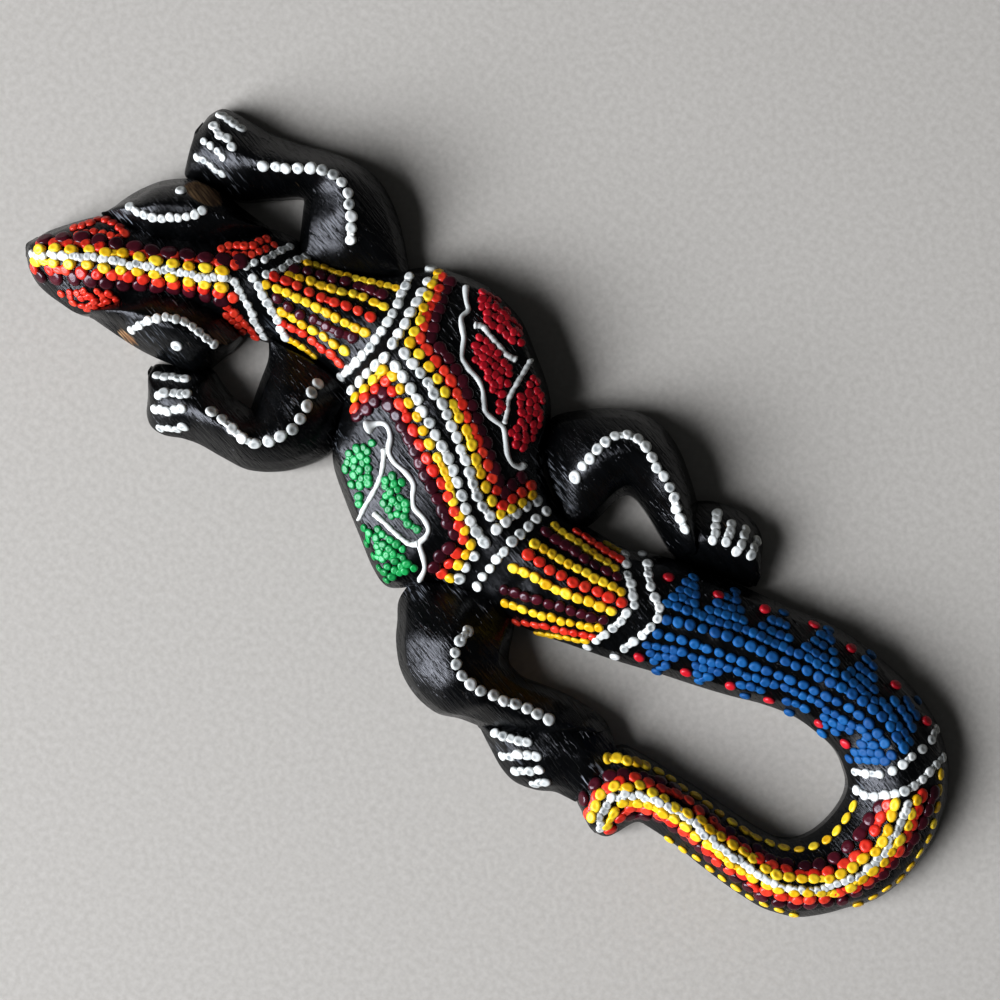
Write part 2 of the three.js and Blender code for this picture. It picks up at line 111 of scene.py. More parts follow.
LIMBS = {
    "brow_right": [
        (-114.6, 3.2, -113.6, 1.6, 8), (-113, 7.3, -108.8, 2.2, 13, 5, 9.5),
        (-110.8, 12, -102.4, 3, 15.8, 5.5, 10.5), (-107.3, 17, -97.5, 5.2, 17, 5.8, 10.5),
        (-101.5, 21.2, -92.5, 8, 17, 6, 10.5), (-94.5, 22.2, -88, 11.4, 15.8, 6, 10),
        (-88, 22, -84.5, 15.6, 13.5, 6, 9), (-82.5, 22, -81.5, 20, 10, 6, 8),
    ],
    "brow_left": [
        (-102.5, -16, -103, -19.6, 9), (-98.5, -11, -98.5, -19.4, 13.5, 9.5, 5),
        (-94.1, -5.6, -93, -19.2, 16, 10.5, 5.6), (-88.3, -2.8, -87, -18.6, 17, 10.5, 5.8),
        (-82, -1.4, -80.5, -17.1, 16.6, 10.5, 5.8), (-76.5, -1.4, -74.8, -15, 15, 10, 5.6),
        (-72, -2.4, -72.4, -8, 11, 8, 6),
    ],
    "front_right_leg": [
        (-47.5, 32, -71.5, 19.5, 8.5, 5, 7), (-50, 34.2, -73.6, 23.6, 12, 4.5, 6.5),
        (-55.5, 39.4, -75.9, 27.4, 15), (-60.6, 43.2, -77.6, 30.4, 15.6), (-66.6, 46, -78.6, 32, 15.6),
        (-72.8, 46.6, -79.6, 32.2, 15.5), (-79, 45.3, -81.2, 31.2, 15.2), (-85, 43, -83.6, 29.2, 14.8),
        (-90, 41.4, -86.6, 26.8, 14.2), (-94.7, 40.2, -90, 23.8, 13.5), (-99, 39.7, -94.4, 22, 12.6),
        (-103.5, 39.3, -99, 21.2, 11.4), (-107, 38.4, -102.9, 20.4, 9.8), (-108.7, 35.6, -105.7, 20.9, 7.6),
        (-109.1, 33, -107.5, 26, 6),
    ],
    "front_left_leg": [
        (-41.5, 2.5, -65.8, 0.8, 8.5, 5, 7), (-40.2, -3, -63.4, -3, 12.5, 5, 6),
        (-39.3, -8.6, -62.2, -7.6, 15),
        (-39.4, -13.5, -61, -11.6, 15.5), (-41.8, -18, -60.2, -14.2, 15.5), (-46, -22.8, -60.4, -14.8, 15.5),
        (-52, -26.7, -61.4, -15, 15.2), (-58.5, -27.9, -63.6, -15, 14.6), (-64.6, -28.6, -66.6, -14.9, 14),
        (-69, -29.9, -69.8, -13.9, 13.2), (-73, -31.8, -73.4, -12.8, 12.4), (-76.6, -32, -77.4, -15.4, 11.2),
        (-79.4, -30.2, -81.6, -17.6, 9.6), (-81.5, -27, -84.4, -19.4, 7.6), (-83, -24.4, -85, -20.6, 5.6),
    ],
    "rear_right_leg": [
        (-1.8, 21, 18.5, 5.5, 8.5, 6, 6), (-1.2, 26, 20.6, 10.5, 13.5), (3.4, 31, 21.4, 15, 16.2),
        (8.2, 34.9, 22, 18.4, 16.8), (14, 37.9, 23.2, 20.6, 16.8), (20, 38.6, 25.6, 21.1, 16.4),
        (26, 36.9, 29.2, 20.1, 15.6), (31, 34, 33.6, 18.3, 14.6), (36, 30.3, 38.2, 16.4, 13.4),
        (40, 26.8, 42.2, 15.6, 12.2), (42.6, 22.6, 43.8, 17, 10.5),
    ],
    "rear_right_foot": [
        (36.6, 28.6, 42.4, 14.8, 9), (39.8, 31, 46, 16, 11), (44, 32.8, 49.6, 17.4, 11.6),
        (48.4, 33.5, 53, 18.4, 11.2), (52.4, 32.8, 56.6, 19.4, 10), (55.7, 30.6, 59.2, 20, 8.4),
        (58, 27, 60.3, 21.2, 6.2),
    ],
    "rear_left_leg": [
        (-5.8, -25, 17.5, -15.5, 8.5, 6, 6), (-5.6, -30.6, 20, -19.8, 13.5), (-3, -34.8, 21.5, -23, 16.2),
        (-0.3, -39, 22.6, -25.4, 16.8), (4.4, -43.6, 24, -27.3, 16.8), (10.5, -46.4, 26.4, -28.2, 16.4),
        (17, -46.9, 29.2, -28.3, 15.8), (22.6, -44.7, 32.6, -27.4, 15),
        (28.4, -43.1, 37.2, -26.1, 14.2), (34, -40.2, 42, -25.3, 13.4, 7, 4.4),
        (39.8, -37, 46.4, -25, 12.6, 8.5, 4.2), (43.6, -33.2, 49.2, -25.4, 11.8, 8.6, 5),
        (46.6, -30.6, 51.2, -26.6, 10.6, 8.2, 7),
    ],
    "rear_left_foot": [
        (28.6, -41.6, 27.8, -44.1, 5.5, 4, 2.5), (32.2, -38.2, 32, -46.2, 9.5, 7.5, 3),
        (36.6, -35.4, 37, -48.5, 10.8, 9, 3.4), (41, -31.6, 41.6, -49.3, 11.6, 9.8, 3.6),
        (46, -25.8, 46.6, -48, 12, 6, 3.7), (50, -25.2, 50.4, -45.8, 11.8, 4, 3.8),
        (53.6, -27, 53.2, -45.1, 11, 4.6, 4.4), (56.8, -29.6, 55.4, -44.6, 9.6, 7, 6),
    ],
}


# ---------------------------------------------------------------- places in the frame

def trunk_centre_in_drawing():
    """Middle of the trunk outline's box in the drawing."""
    edges = np.array([s[:4] for s in BODY["trunk"] + BODY["hip"][:1]], float).reshape(-1, 2)
    return (edges.min(0) + edges.max(0)) / 2


def trunk_centre_in_frame():
    """Middle of the CAD trunk's box, in millimetres."""
    low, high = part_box("trunk")
    return (np.array(low[:2]) + np.array(high[:2])) / 2 / MM


DRAWING_SHIFT = trunk_centre_in_frame() - trunk_centre_in_drawing()

# The drawing was traced looking down from one eye point, so a place on a raised surface is found along
# the line of sight from there. The camera stands at the same point.
VIEW_TURN = math.radians(36)        # the camera is turned this much about the vertical
VIEW_CENTRE = (-2.4, 3.4)           # millimetres in the frame, under the eye
VIEW_WIDTH = 235.0                  # millimetres across the picture at the tracing height
TRACING_HEIGHT = 4.0                # the outlines' height over the flat back
LENS = 70.0
SENSOR = 36.0
EYE_HEIGHT = TRACING_HEIGHT + VIEW_WIDTH * LENS / SENSOR
EYE = Vector((VIEW_CENTRE[0] * MM, VIEW_CENTRE[1] * MM, EYE_HEIGHT * MM))


def placed(points):
    """Drawing places (x, y) or (x, y, z) in millimetres to metres in the frame."""
    points = np.array(points, float)
    points[..., :2] += DRAWING_SHIFT
    return points * MM


def smooth_curve(points, t):
    """Catmull-Rom curve through the rows of points; t counts points, so t = 2.5 is midway from 2 to 3."""
    points = np.asarray(points, float)
    last = len(points) - 1
    padded = np.vstack([2 * points[0] - points[1], points, 2 * points[-1] - points[-2]])
    i = np.clip(np.floor(t).astype(int), 0, last - 1)
    f = (np.asarray(t) - i)[:, None]
    a, b, c, d = (padded[i + k] for k in range(4))
    return 0.5 * (2 * b + (c - a) * f + (2 * a - 5 * b + 4 * c - d) * f**2 + (3 * b - a - 3 * c + d) * f**3)


def evenly(points, count=None, pitch=None):
    """Places at even distances along the smooth curve through points, with the curve's direction there."""
    dense = smooth_curve(points, np.linspace(0, len(points) - 1, 60 * len(points)))
    run = np.concatenate([[0], np.cumsum(np.linalg.norm(np.diff(dense, axis=0), axis=1))])
    if count is None:
        count = max(2, round(run[-1] / pitch) + 1)
    stops = np.linspace(0, run[-1], count)
    where = np.stack([np.interp(stops, run, dense[:, k]) for k in range(dense.shape[1])], 1)
    ahead = np.stack([np.interp(stops + 0.3, run, dense[:, k]) for k in range(2)], 1)
    behind = np.stack([np.interp(stops - 0.3, run, dense[:, k]) for k in range(2)], 1)
    direction = ahead - behind
    return where, direction / np.linalg.norm(direction, axis=1, keepdims=True)


# ---------------------------------------------------------------- materials

def linear(hex_colour):
    """An sRGB hex colour as linear RGBA."""
    srgb = np.array([int(hex_colour[i:i + 2], 16) for i in (0, 2, 4)]) / 255
    low = srgb / 12.92
    high = ((srgb + 0.055) / 1.055) ** 2.4
    return (*np.where(srgb <= 0.04045, low, high).tolist(), 1.0)


def add(tree, kind, settings=None, **links):
    """Adds a node. Settings go to its properties or, by name, to its input sockets; links join input
    sockets, by name or by number as _0, _1, to the output sockets given."""
    node = tree.nodes.new(kind)
    for key, value in (settings or {}).items():
        if key in node.inputs:
            node.inputs[key].default_value = value
        else:
            setattr(node, key, value)
    for key, socket in links.items():
        target = node.inputs[int(key[1:])] if key.startswith("_") else node.inputs[key.replace("_", " ")]
        tree.links.new(socket, target)
    return node


def new_material(name):
    material = bpy.data.materials.new(name)
    material.use_nodes = True
    tree = material.node_tree
    shader = next(n for n in tree.nodes if n.type == "BSDF_PRINCIPLED")
    return material, tree, shader


def ramp(tree, factor, stops):
    """A colour ramp over factor; stops are (position, hex colour)."""
    node = add(tree, "ShaderNodeValToRGB", Fac=factor)
    elements = node.color_ramp.elements
    while len(elements) < len(stops):
        elements.new(0.5)
    for element, (position, colour) in zip(elements, stops):
        element.position = position
        element.color = linear(colour)
    return node.outputs["Color"]


GRAIN_DEPTH = 4         # millimetres over which a groove changes with depth in the board


def varnished_wood():
    """Black brushed varnish over open-grained light wood. The grain runs along the board, so fine grooves
    and short pores break the shine into streaks; the varnish thins to brown wood on rubbed corners and
    shows chalky scuffs in the creases, light grey streaks that are partly painted highlight for glints
    along the grooves. The 'worn' attribute and the scuff attribute say where."""
    material, tree, shader = new_material("black_varnished_albizia")
    place = add(tree, "ShaderNodeTexCoord").outputs["Object"]
    # The grain runs a little aslant. Grooves are 0.45 mm apart and 11 mm long, the open grain 1.3 mm apart
    # and 30 mm long, pores 0.6 mm apart and 4 mm long. They follow the surface, so they change little
    # with depth.
    slant = (0, 0, math.radians(-14))

    def streaks(length, across, detail):
        run = add(tree, "ShaderNodeMapping", {"vector_type": "TEXTURE", "Rotation": slant,
                                              "Scale": (length * MM, across * MM, GRAIN_DEPTH * MM)},
                                              Vector=place)
        return add(tree, "ShaderNodeTexNoise", {"Scale": 1.0, "Detail": detail, "Roughness": 0.6},
                   Vector=run.outputs[0]).outputs["Fac"]

    ridges, grain, pore_noise = streaks(11, 0.45, 3.0), streaks(30, 1.3, 4.0), streaks(4, 0.6, 1.0)
    pores = add(tree, "ShaderNodeMapRange", {"From Min": 0.6, "From Max": 0.68}, Value=pore_noise).outputs[0]
    mottle = add(tree, "ShaderNodeTexNoise", {"Scale": 90.0, "Detail": 3.0}, Vector=place).outputs["Fac"]
    body = ramp(tree, grain, [(0.3, "040505"), (0.55, "090a0b"), (0.78, "101214")])

    # Scuffs: chalky marks along the grooves, only where the attribute allows them. Their light grey is
    # partly painted highlight, standing in for glints along the grooves.
    scuffed = add(tree, "ShaderNodeAttribute", {"attribute_name": "scuffed"}).outputs["Fac"]
    streak = add(tree, "ShaderNodeMath", {"operation": "MULTIPLY"}, _0=pore_noise, _1=ridges).outputs[0]
    streak = add(tree, "ShaderNodeMapRange", {"From Min": 0.28, "From Max": 0.36}, Value=streak)
    chalk_and_glint = add(tree, "ShaderNodeMath", {"operation": "MULTIPLY", "use_clamp": True},
                _0=streak.outputs[0], _1=scuffed).outputs[0]
    body = add(tree, "ShaderNodeMix", {"data_type": "RGBA"}, Factor=chalk_and_glint, _6=body,
               _7=ramp(tree, mottle, [(0.3, "6f757b"), (0.7, "b9bdc0")])).outputs[2]

    # Worn patches: bare brown wood with darker grain lines left in it, frayed along the grain.
    worn = add(tree, "ShaderNodeAttribute", {"attribute_name": "worn"}).outputs["Fac"]
    edge = add(tree, "ShaderNodeMath", {"operation": "ADD"}, _0=worn, _1=ridges).outputs[0]
    bare = add(tree, "ShaderNodeMapRange", {"From Min": 0.72, "From Max": 1.15}, Value=edge).outputs[0]
    timber = ramp(tree, ridges, [(0.34, "2a1a10"), (0.5, "7d5c3c"), (0.64, "b4936a")])
    body = add(tree, "ShaderNodeMix", {"data_type": "RGBA"}, Factor=bare, _6=body, _7=timber).outputs[2]
    tree.links.new(body, shader.inputs["Base Color"])

    gloss = add(tree, "ShaderNodeMapRange",
                {"From Min": 0.3, "From Max": 0.7, "To Min": 0.15, "To Max": 0.25}, Value=mottle).outputs[0]
    dull = add(tree, "ShaderNodeMath", {"operation": "MAXIMUM"}, _0=bare, _1=chalk_and_glint).outputs[0]
    gloss = add(tree, "ShaderNodeMix", {"data_type": "FLOAT", "B": 0.75}, Factor=dull, _2=gloss).outputs[0]
    tree.links.new(gloss, shader.inputs["Roughness"])
    shader.inputs["IOR"].default_value = 1.5
    shader.inputs["Specular IOR Level"].default_value = 0.4

    relief = add(tree, "ShaderNodeMath", {"operation": "MULTIPLY_ADD"}, _0=ridges, _2=grain)
    relief.inputs[1].default_value = 1.2
    relief = add(tree, "ShaderNodeMath", {"operation": "MULTIPLY_ADD"}, _0=pores, _2=relief.outputs[0])
    relief.inputs[1].default_value = -0.9
    bump = add(tree, "ShaderNodeBump", {"Strength": 0.9, "Distance": 0.0002}, Height=relief.outputs[0])
    tree.links.new(bump.outputs[0], shader.inputs["Normal"])
    return material


def acrylic(name, tones, roughness, pit_tones=None):
    """Thick acrylic dabbed on with a stick: each bead dries to its own tone, slightly glossy, with a
    little pit where the stick let go. Tones are the darkest and the lightest colour of a bead."""
    material, tree, shader = new_material(name)
    tone = add(tree, "ShaderNodeAttribute", {"attribute_name": "tone"}).outputs["Fac"]
    place = add(tree, "ShaderNodeTexCoord").outputs["Object"]
    # Pigment cloud about 1 mm across.
    cloud = add(tree, "ShaderNodeTexNoise", {"Scale": 950.0, "Detail": 3.0}, Vector=place).outputs["Fac"]
    mixed = add(tree, "ShaderNodeMath", {"operation": "MULTIPLY_ADD"}, _0=cloud, _2=tone)
    mixed.inputs[1].default_value = 0.5
    colour = ramp(tree, mixed.outputs[0], [(0.2, tones[0]), (0.95, tones[1])])
    if pit_tones:
        pit = add(tree, "ShaderNodeAttribute", {"attribute_name": "pit"}).outputs["Fac"]
        speck = add(tree, "ShaderNodeMath", {"operation": "MULTIPLY"}, _0=pit, _1=cloud).outputs[0]
        amount = add(tree, "ShaderNodeMapRange", {"From Min": 0.22, "From Max": 0.55},
                     Value=speck).outputs[0]
        hollow = ramp(tree, tone, [(0.0, pit_tones[0]), (0.6, pit_tones[1])])
        colour = add(tree, "ShaderNodeMix", {"data_type": "RGBA"}, Factor=amount, _6=colour,
                     _7=hollow).outputs[2]
    tree.links.new(colour, shader.inputs["Base Color"])
    shade = add(tree, "ShaderNodeMapRange",
                {"To Min": roughness - 0.08, "To Max": roughness + 0.1}, Value=cloud).outputs[0]
    tree.links.new(shade, shader.inputs["Roughness"])
    shader.inputs["IOR"].default_value = 1.48
    bump = add(tree, "ShaderNodeBump", {"Strength": 0.25, "Distance": 0.00012}, Height=cloud)
    tree.links.new(bump.outputs[0], shader.inputs["Normal"])
    return material


def plain_board():
    """Plain matt paper-grey board under the carving."""
    material, tree, shader = new_material("matt_grey_board")
    place = add(tree, "ShaderNodeTexCoord").outputs["Object"]
    fleck = add(tree, "ShaderNodeTexNoise", {"Scale": 700.0, "Detail": 4.0}, Vector=place).outputs["Fac"]
    tree.links.new(ramp(tree, fleck, [(0.3, "bbb6ab"), (0.7, "c6c1b6")]), shader.inputs["Base Color"])
    shader.inputs["Roughness"].default_value = 0.9
    return material


WOOD = varnished_wood()
PAINTS = {
    "white": acrylic("white_acrylic_beads", ("c6c8c1", "e8e8e0"), 0.45, ("7c807d", "a9ada9")),
    "yellow": acrylic("yellow_acrylic_beads", ("e0b014", "f8dc40"), 0.34, ("b98206", "dfa910")),
    "red": acrylic("vermilion_acrylic_beads", ("cc2f20", "ea5238"), 0.3, ("a11f10", "cc3420")),
    "maroon": acrylic("maroon_acrylic_beads", ("33101a", "5c1c29"), 0.22),
    "crimson": acrylic("crimson_acrylic_beads", ("a81526", "d02a38"), 0.36),
    "green": acrylic("green_acrylic_beads", ("0d7a3e", "24a85c"), 0.3),
    "blue": acrylic("blue_acrylic_beads", ("084c80", "10669a"), 0.6),
}


# ---------------------------------------------------------------- wood

ROWS_PER_SPAN = 12      # loft rows between two stations
WORN_SPOTS = [          # x, y, half length, half width, strength: varnish rubbed through to brown wood
    (-97.3, 19.2, 5, 2.4, 1.2), (-92.6, -18.2, 3, 1, 0.8), (-74.8, -5.6, 2.6, 1.3, 0.5),
    (46, 28, 3, 1.2, 0.25),
]
SCUFF_AND_GLINT_SPOTS = [       # x, y, half length, half width, strength: chalky brush marks in the creases, partly painted highlight
    (-104, 3.5, 9, 1.8, 0.7), (-92, -4.5, 9, 1.8, 0.7), (-62, 4, 7, 1.6, 0.5), (-72, 12.5, 3.5, 4, 0.3),
    (-44, 1.5, 3, 3, 0.5), (-39, -9, 2.5, 4, 0.6), (-4, -26, 3, 3, 0.6), (6, -21, 8, 1.4, 0.6),
    (4, 14, 6, 4, 0.8), (10, 11, 5, 2.5, 0.7), (54.6, -36.4, 2, 4.6, 1.5), (108, -3, 3, 3, 0.7),
    (106, 8, 5, 2, 0.3), (36, -44, 4, 2, 0.5), (-98, 26, 7, 3.5, 0.35), (-86, -14, 8, 3, 0.25),
]


def unevenness(x, y):
    """Hand-cut waviness in millimetres: a sum of four slow sine waves across the board."""
    waves = ((0.62, 0.35, 0.0, 0.10), (0.28, -0.55, 1.3, 0.12), (0.15, 0.8, 2.1, 0.08),
             (0.9, 0.1, 4.0, 0.05))
    return sum(size * np.sin(kx * x + ky * y + phase) for kx, ky, phase, size in waves)


def across_shares():
    """Shares of the half width, from edge to middle, that get a loft column: (part, place in the part).
    Part 0 is the knife-cut slope and part 1 the crown."""
    slope = [(0, q) for q in (0.0, 0.35, 0.7, 0.93)]
    crown = [(1, q) for q in (0.012, 0.05, 0.11, 0.19, 0.28, 0.38, 0.49, 0.6, 0.71, 0.81, 0.9, 0.96)]
    return slope + crown


def carved_rows(stations):
    """Loft rows through the stations, as an array of rows by points round the cut, in drawing millimetres.
    The height over a place d millimetres in from its edge is: wall + (arris - wall) d / chamfer up to the
    arris, then arris + (crown - arris) (1 - (1 - u) to the CROWN_POWER), u running from arris to middle."""
    full = np.array([s if len(s) == 7 else (*s, s[4] * WALL_SHARE, s[4] * WALL_SHARE) for s in stations])
    t = np.linspace(0, len(full) - 1, (len(full) - 1) * ROWS_PER_SPAN + 1)
    run = smooth_curve(full, t)
    edge, other, crown = run[:, 0:2], run[:, 2:4], run[:, 4]
    span = other - edge
    half = np.linalg.norm(span, axis=1) / 2
    inward = span / (2 * half[:, None])
    slope = np.minimum(CHAMFER, 0.4 * half)

    def side(origin, direction, wall):
        """Columns from the back corner at one edge to just short of the middle."""
        back = [np.column_stack([origin + direction * BACK_BEVEL, 0 * wall])]
        back += [np.column_stack([origin, z]) for z in (0 * wall + BACK_BEVEL, wall * 0.5, wall * 0.9)]
        arris = wall + ARRIS_SHARE * (crown - wall)
        columns = []
        for part, q in across_shares():
            d = q * slope if part == 0 else slope + q * (half - slope)
            rise = 1 - (1 - q) ** CROWN_POWER
            z = wall + (arris - wall) * q if part == 0 else arris + (crown - arris) * rise
            columns.append(np.column_stack([origin + direction * d[:, None], z]))
        return back + columns

    middle = np.column_stack([edge + inward * half[:, None], crown])
    rows = side(edge, inward, run[:, 5]) + [middle] + side(other, -inward, run[:, 6])[::-1]
    rows = np.stack(rows, 1)
    top = rows[..., 2] > 2
    rows[..., 2] += top * unevenness(rows[..., 0], rows[..., 1])
    return rows


def rounded_end(rows, at_start, reach):
    """Closes a loft's free end: five more rows that shrink to the middle of the last cut while they run
    on by reach millimetres, along a quarter circle."""
    last, before = (rows[0], rows[1]) if at_start else (rows[-1], rows[-2])
    centre = last.mean(0)
    centre[2] = last[:, 2].max() * 0.42
    ahead = last.mean(0) - before.mean(0)
    ahead[2] = 0
    ahead /= np.linalg.norm(ahead)
    turn = np.linspace(0, math.pi / 2, 7)[1:-1]
    more = np.stack([centre + (last - centre) * math.cos(a) + ahead * reach * math.sin(a) for a in turn])
    more[..., 2] = np.maximum(more[..., 2], 0)
    return np.concatenate([more[::-1], rows]) if at_start else np.concatenate([rows, more])


def spot_mask(points, spots):
    """How strongly each place lies in the listed spots: 1 in the middle, fading to 0 at their rims."""
    mask = np.zeros(len(points))
    for x, y, half_length, half_width, strength in spots:
        reach = ((points[:, 0] - x) / half_length) ** 2 + ((points[:, 1] - y) / half_width) ** 2
        mask = np.maximum(mask, strength * np.clip(1.3 - reach, 0, 1))
    return mask


def grid_normals(rows):
    """Outward direction at every point of a loft, from its neighbours along and around."""
    along = np.gradient(rows, axis=0)
    around = np.roll(rows, -1, axis=1) - np.roll(rows, 1, axis=1)
    normal = np.cross(around, along)
    normal /= np.maximum(np.linalg.norm(normal, axis=2, keepdims=True), 1e-12)
    middle = rows.shape[1] // 2
    return normal if normal[:, middle, 2].mean() > 0 else -normal


def loft_faces(row_count, column_count):
    """Quads between neighbouring rows and columns, the last column joined to the first, and the two end
    faces, each a polygon round its row."""
    i, j = np.meshgrid(np.arange(row_count - 1), np.arange(column_count), indexing="ij")
    k = (j + 1) % column_count
    a, b = i * column_count + j, i * column_count + k
    quads = np.stack([a, b, b + column_count, a + column_count], -1).reshape(-1, 4)
    start = np.arange(column_count)[::-1]
    end = (row_count - 1) * column_count + np.arange(column_count)
    return quads, start, end


def finish_piece(piece, material, nodes):
    """Gives a piece its finish and ties it to the frame."""
    piece.data.materials.append(material)
    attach(piece, "root")
    if nodes:
        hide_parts(*nodes)
    return piece


def mesh_object(name, vertices, faces, attributes=None):
    """A smooth-shaded mesh object at the origin, with per-point attributes."""
    mesh = bpy.data.meshes.new(name)
    mesh.from_pydata(vertices.tolist(), [], [list(map(int, f)) for f in faces])
    mesh.update()
    mesh.polygons.foreach_set("use_smooth", np.ones(len(mesh.polygons), bool))
    for key, values in (attributes or {}).items():
        mesh.attributes.new(key, "FLOAT", "POINT").data.foreach_set("value", np.asarray(values, np.float32))
    piece = bpy.data.objects.new(name, mesh)
    bpy.context.scene.collection.objects.link(piece)
    return piece


def carve(name, node, rows, normals=None):
    """One wood piece from its loft rows. With normals given, the shading runs on unbroken into the
    neighbouring pieces of the same loft."""
    quads, start, end = loft_faces(*rows.shape[:2])
    flat = rows.reshape(-1, 3)
    outward = np.cross(flat[quads[:, 1]] - flat[quads[:, 0]], flat[quads[:, 3]] - flat[quads[:, 0]])
    middle = rows.shape[1] // 2 + np.arange(0, len(quads), rows.shape[1])
    if outward[np.minimum(middle, len(quads) - 1), 2].mean() < 0:
        quads, start, end = quads[:, ::-1], start[::-1], end[::-1]
    faces = [*quads, start, end]
    masks = {"worn": spot_mask(flat, WORN_SPOTS), "scuffed": spot_mask(flat, SCUFF_AND_GLINT_SPOTS)}
    piece = mesh_object(name, placed(flat), faces, masks)
    if normals is not None:
        mesh = piece.data
        corner = np.empty(len(mesh.loops), int)
        mesh.loops.foreach_get("vertex_index", corner)
        directions = normals.reshape(-1, 3)[corner]
        for polygon in mesh.polygons[-2:]:
            directions[polygon.loop_start:polygon.loop_start + polygon.loop_total] = polygon.normal
        mesh.normals_split_custom_set(directions.tolist())
    return finish_piece(piece, WOOD, [node])


def carve_body():
    """Head to tail tip as one loft, parted into its named pieces at their shared stations."""
    stations = [s for part in BODY.values() for s in part]
    rows = carved_rows(stations)
    first_rows = [0]
    for part in BODY.values():
        first_rows.append(first_rows[-1] + len(part) * ROWS_PER_SPAN)
    first_rows[-1] = len(rows) - 1
    closed = rounded_end(rounded_end(rows, True, 0.8), False, 0.6)
    extra = (len(closed) - len(rows)) // 2
    normals = grid_normals(closed)
    pieces = []
    for i, name in enumerate(BODY):
        low = 0 if i == 0 else first_rows[i] + extra
        high = len(closed) - 1 if i == len(BODY) - 1 else first_rows[i + 1] + extra
        pieces.append(carve(name + "_wood", name, closed[low:high + 1], normals[low:high + 1]))
    return pieces


def carve_limbs():
    """The eye mounds, legs and feet, each with rounded ends that sink into its neighbours."""
    pieces = []
    for name, stations in LIMBS.items():
        rows = rounded_end(rounded_end(carved_rows(stations), True, 1.5), False, 1.2)
        pieces.append(carve(name + "_wood", name, rows))
    return pieces


WOOD_PIECES = carve_body() + carve_limbs()


def wood_feeler():
    """A search tree over all the wood, to find its surface from above."""
    points, faces, offset = [], [], 0
    for piece in WOOD_PIECES:
        points += [v.co.copy() for v in piece.data.vertices]
        faces += [[offset + i for i in p.vertices] for p in piece.data.polygons]
        offset += len(piece.data.vertices)
    return BVHTree.FromPolygons(points, faces)


FEELER = wood_feeler()


def on_wood(places):
    """Surface points and outward directions seen at drawing places (x, y). A place beside the wood gets
    NaN."""
    traced = placed(np.column_stack([places, np.full(len(places), TRACING_HEIGHT)]))
    hits = [FEELER.ray_cast(EYE, Vector(p) - EYE) for p in traced]
    missing = (math.nan,) * 3
    points = np.array([h[0] if h[0] else missing for h in hits], float)
    normals = np.array([h[1] if h[0] else missing for h in hits], float)
    normals *= np.sign(normals[:, 2:3])
    return points, normals


# ---------------------------------------------------------------- beads of paint

BEAD_SIDES = 12
# Rings of a bead, from just under the wood to its pit: radius and height as shares of the bead's own, and
# how much of the pit's colour a place there takes.
BEAD_RINGS = np.array([(0.97, -0.3, 0), (1.0, 0.25, 0), (0.87, 0.8, 0), (0.62, 0.97, 0.65), (0.3, 0.86, 1)])
PIT_HEIGHT = 0.7
PIT_FILL = 0.2          # how much higher a place in the pit lies on a bead without one
DOME_TOP = 1.12         # height of a bead without a pit, as a share of its rings' height
BEAD_HEIGHT = 0.28      # a bead's height as a share of its width
TALLEST_BEAD = 0.75     # millimetres, however wide the bead
PIT_DEPTHS = {          # how deep the pits of each colour are: none is 0, the deepest is 1
    "white": (0.3, 1.0), "yellow": (0.2, 0.8), "red": (0.1, 0.7), "maroon": (-0.1, 0.15),
    "crimson": (-0.1, 0.2), "green": (0.1, 0.6), "blue": (0.0, 0.5),
}
BRIDGE_WIDTH = 0.7      # a bridge between two beads that ran together, as a share of their width


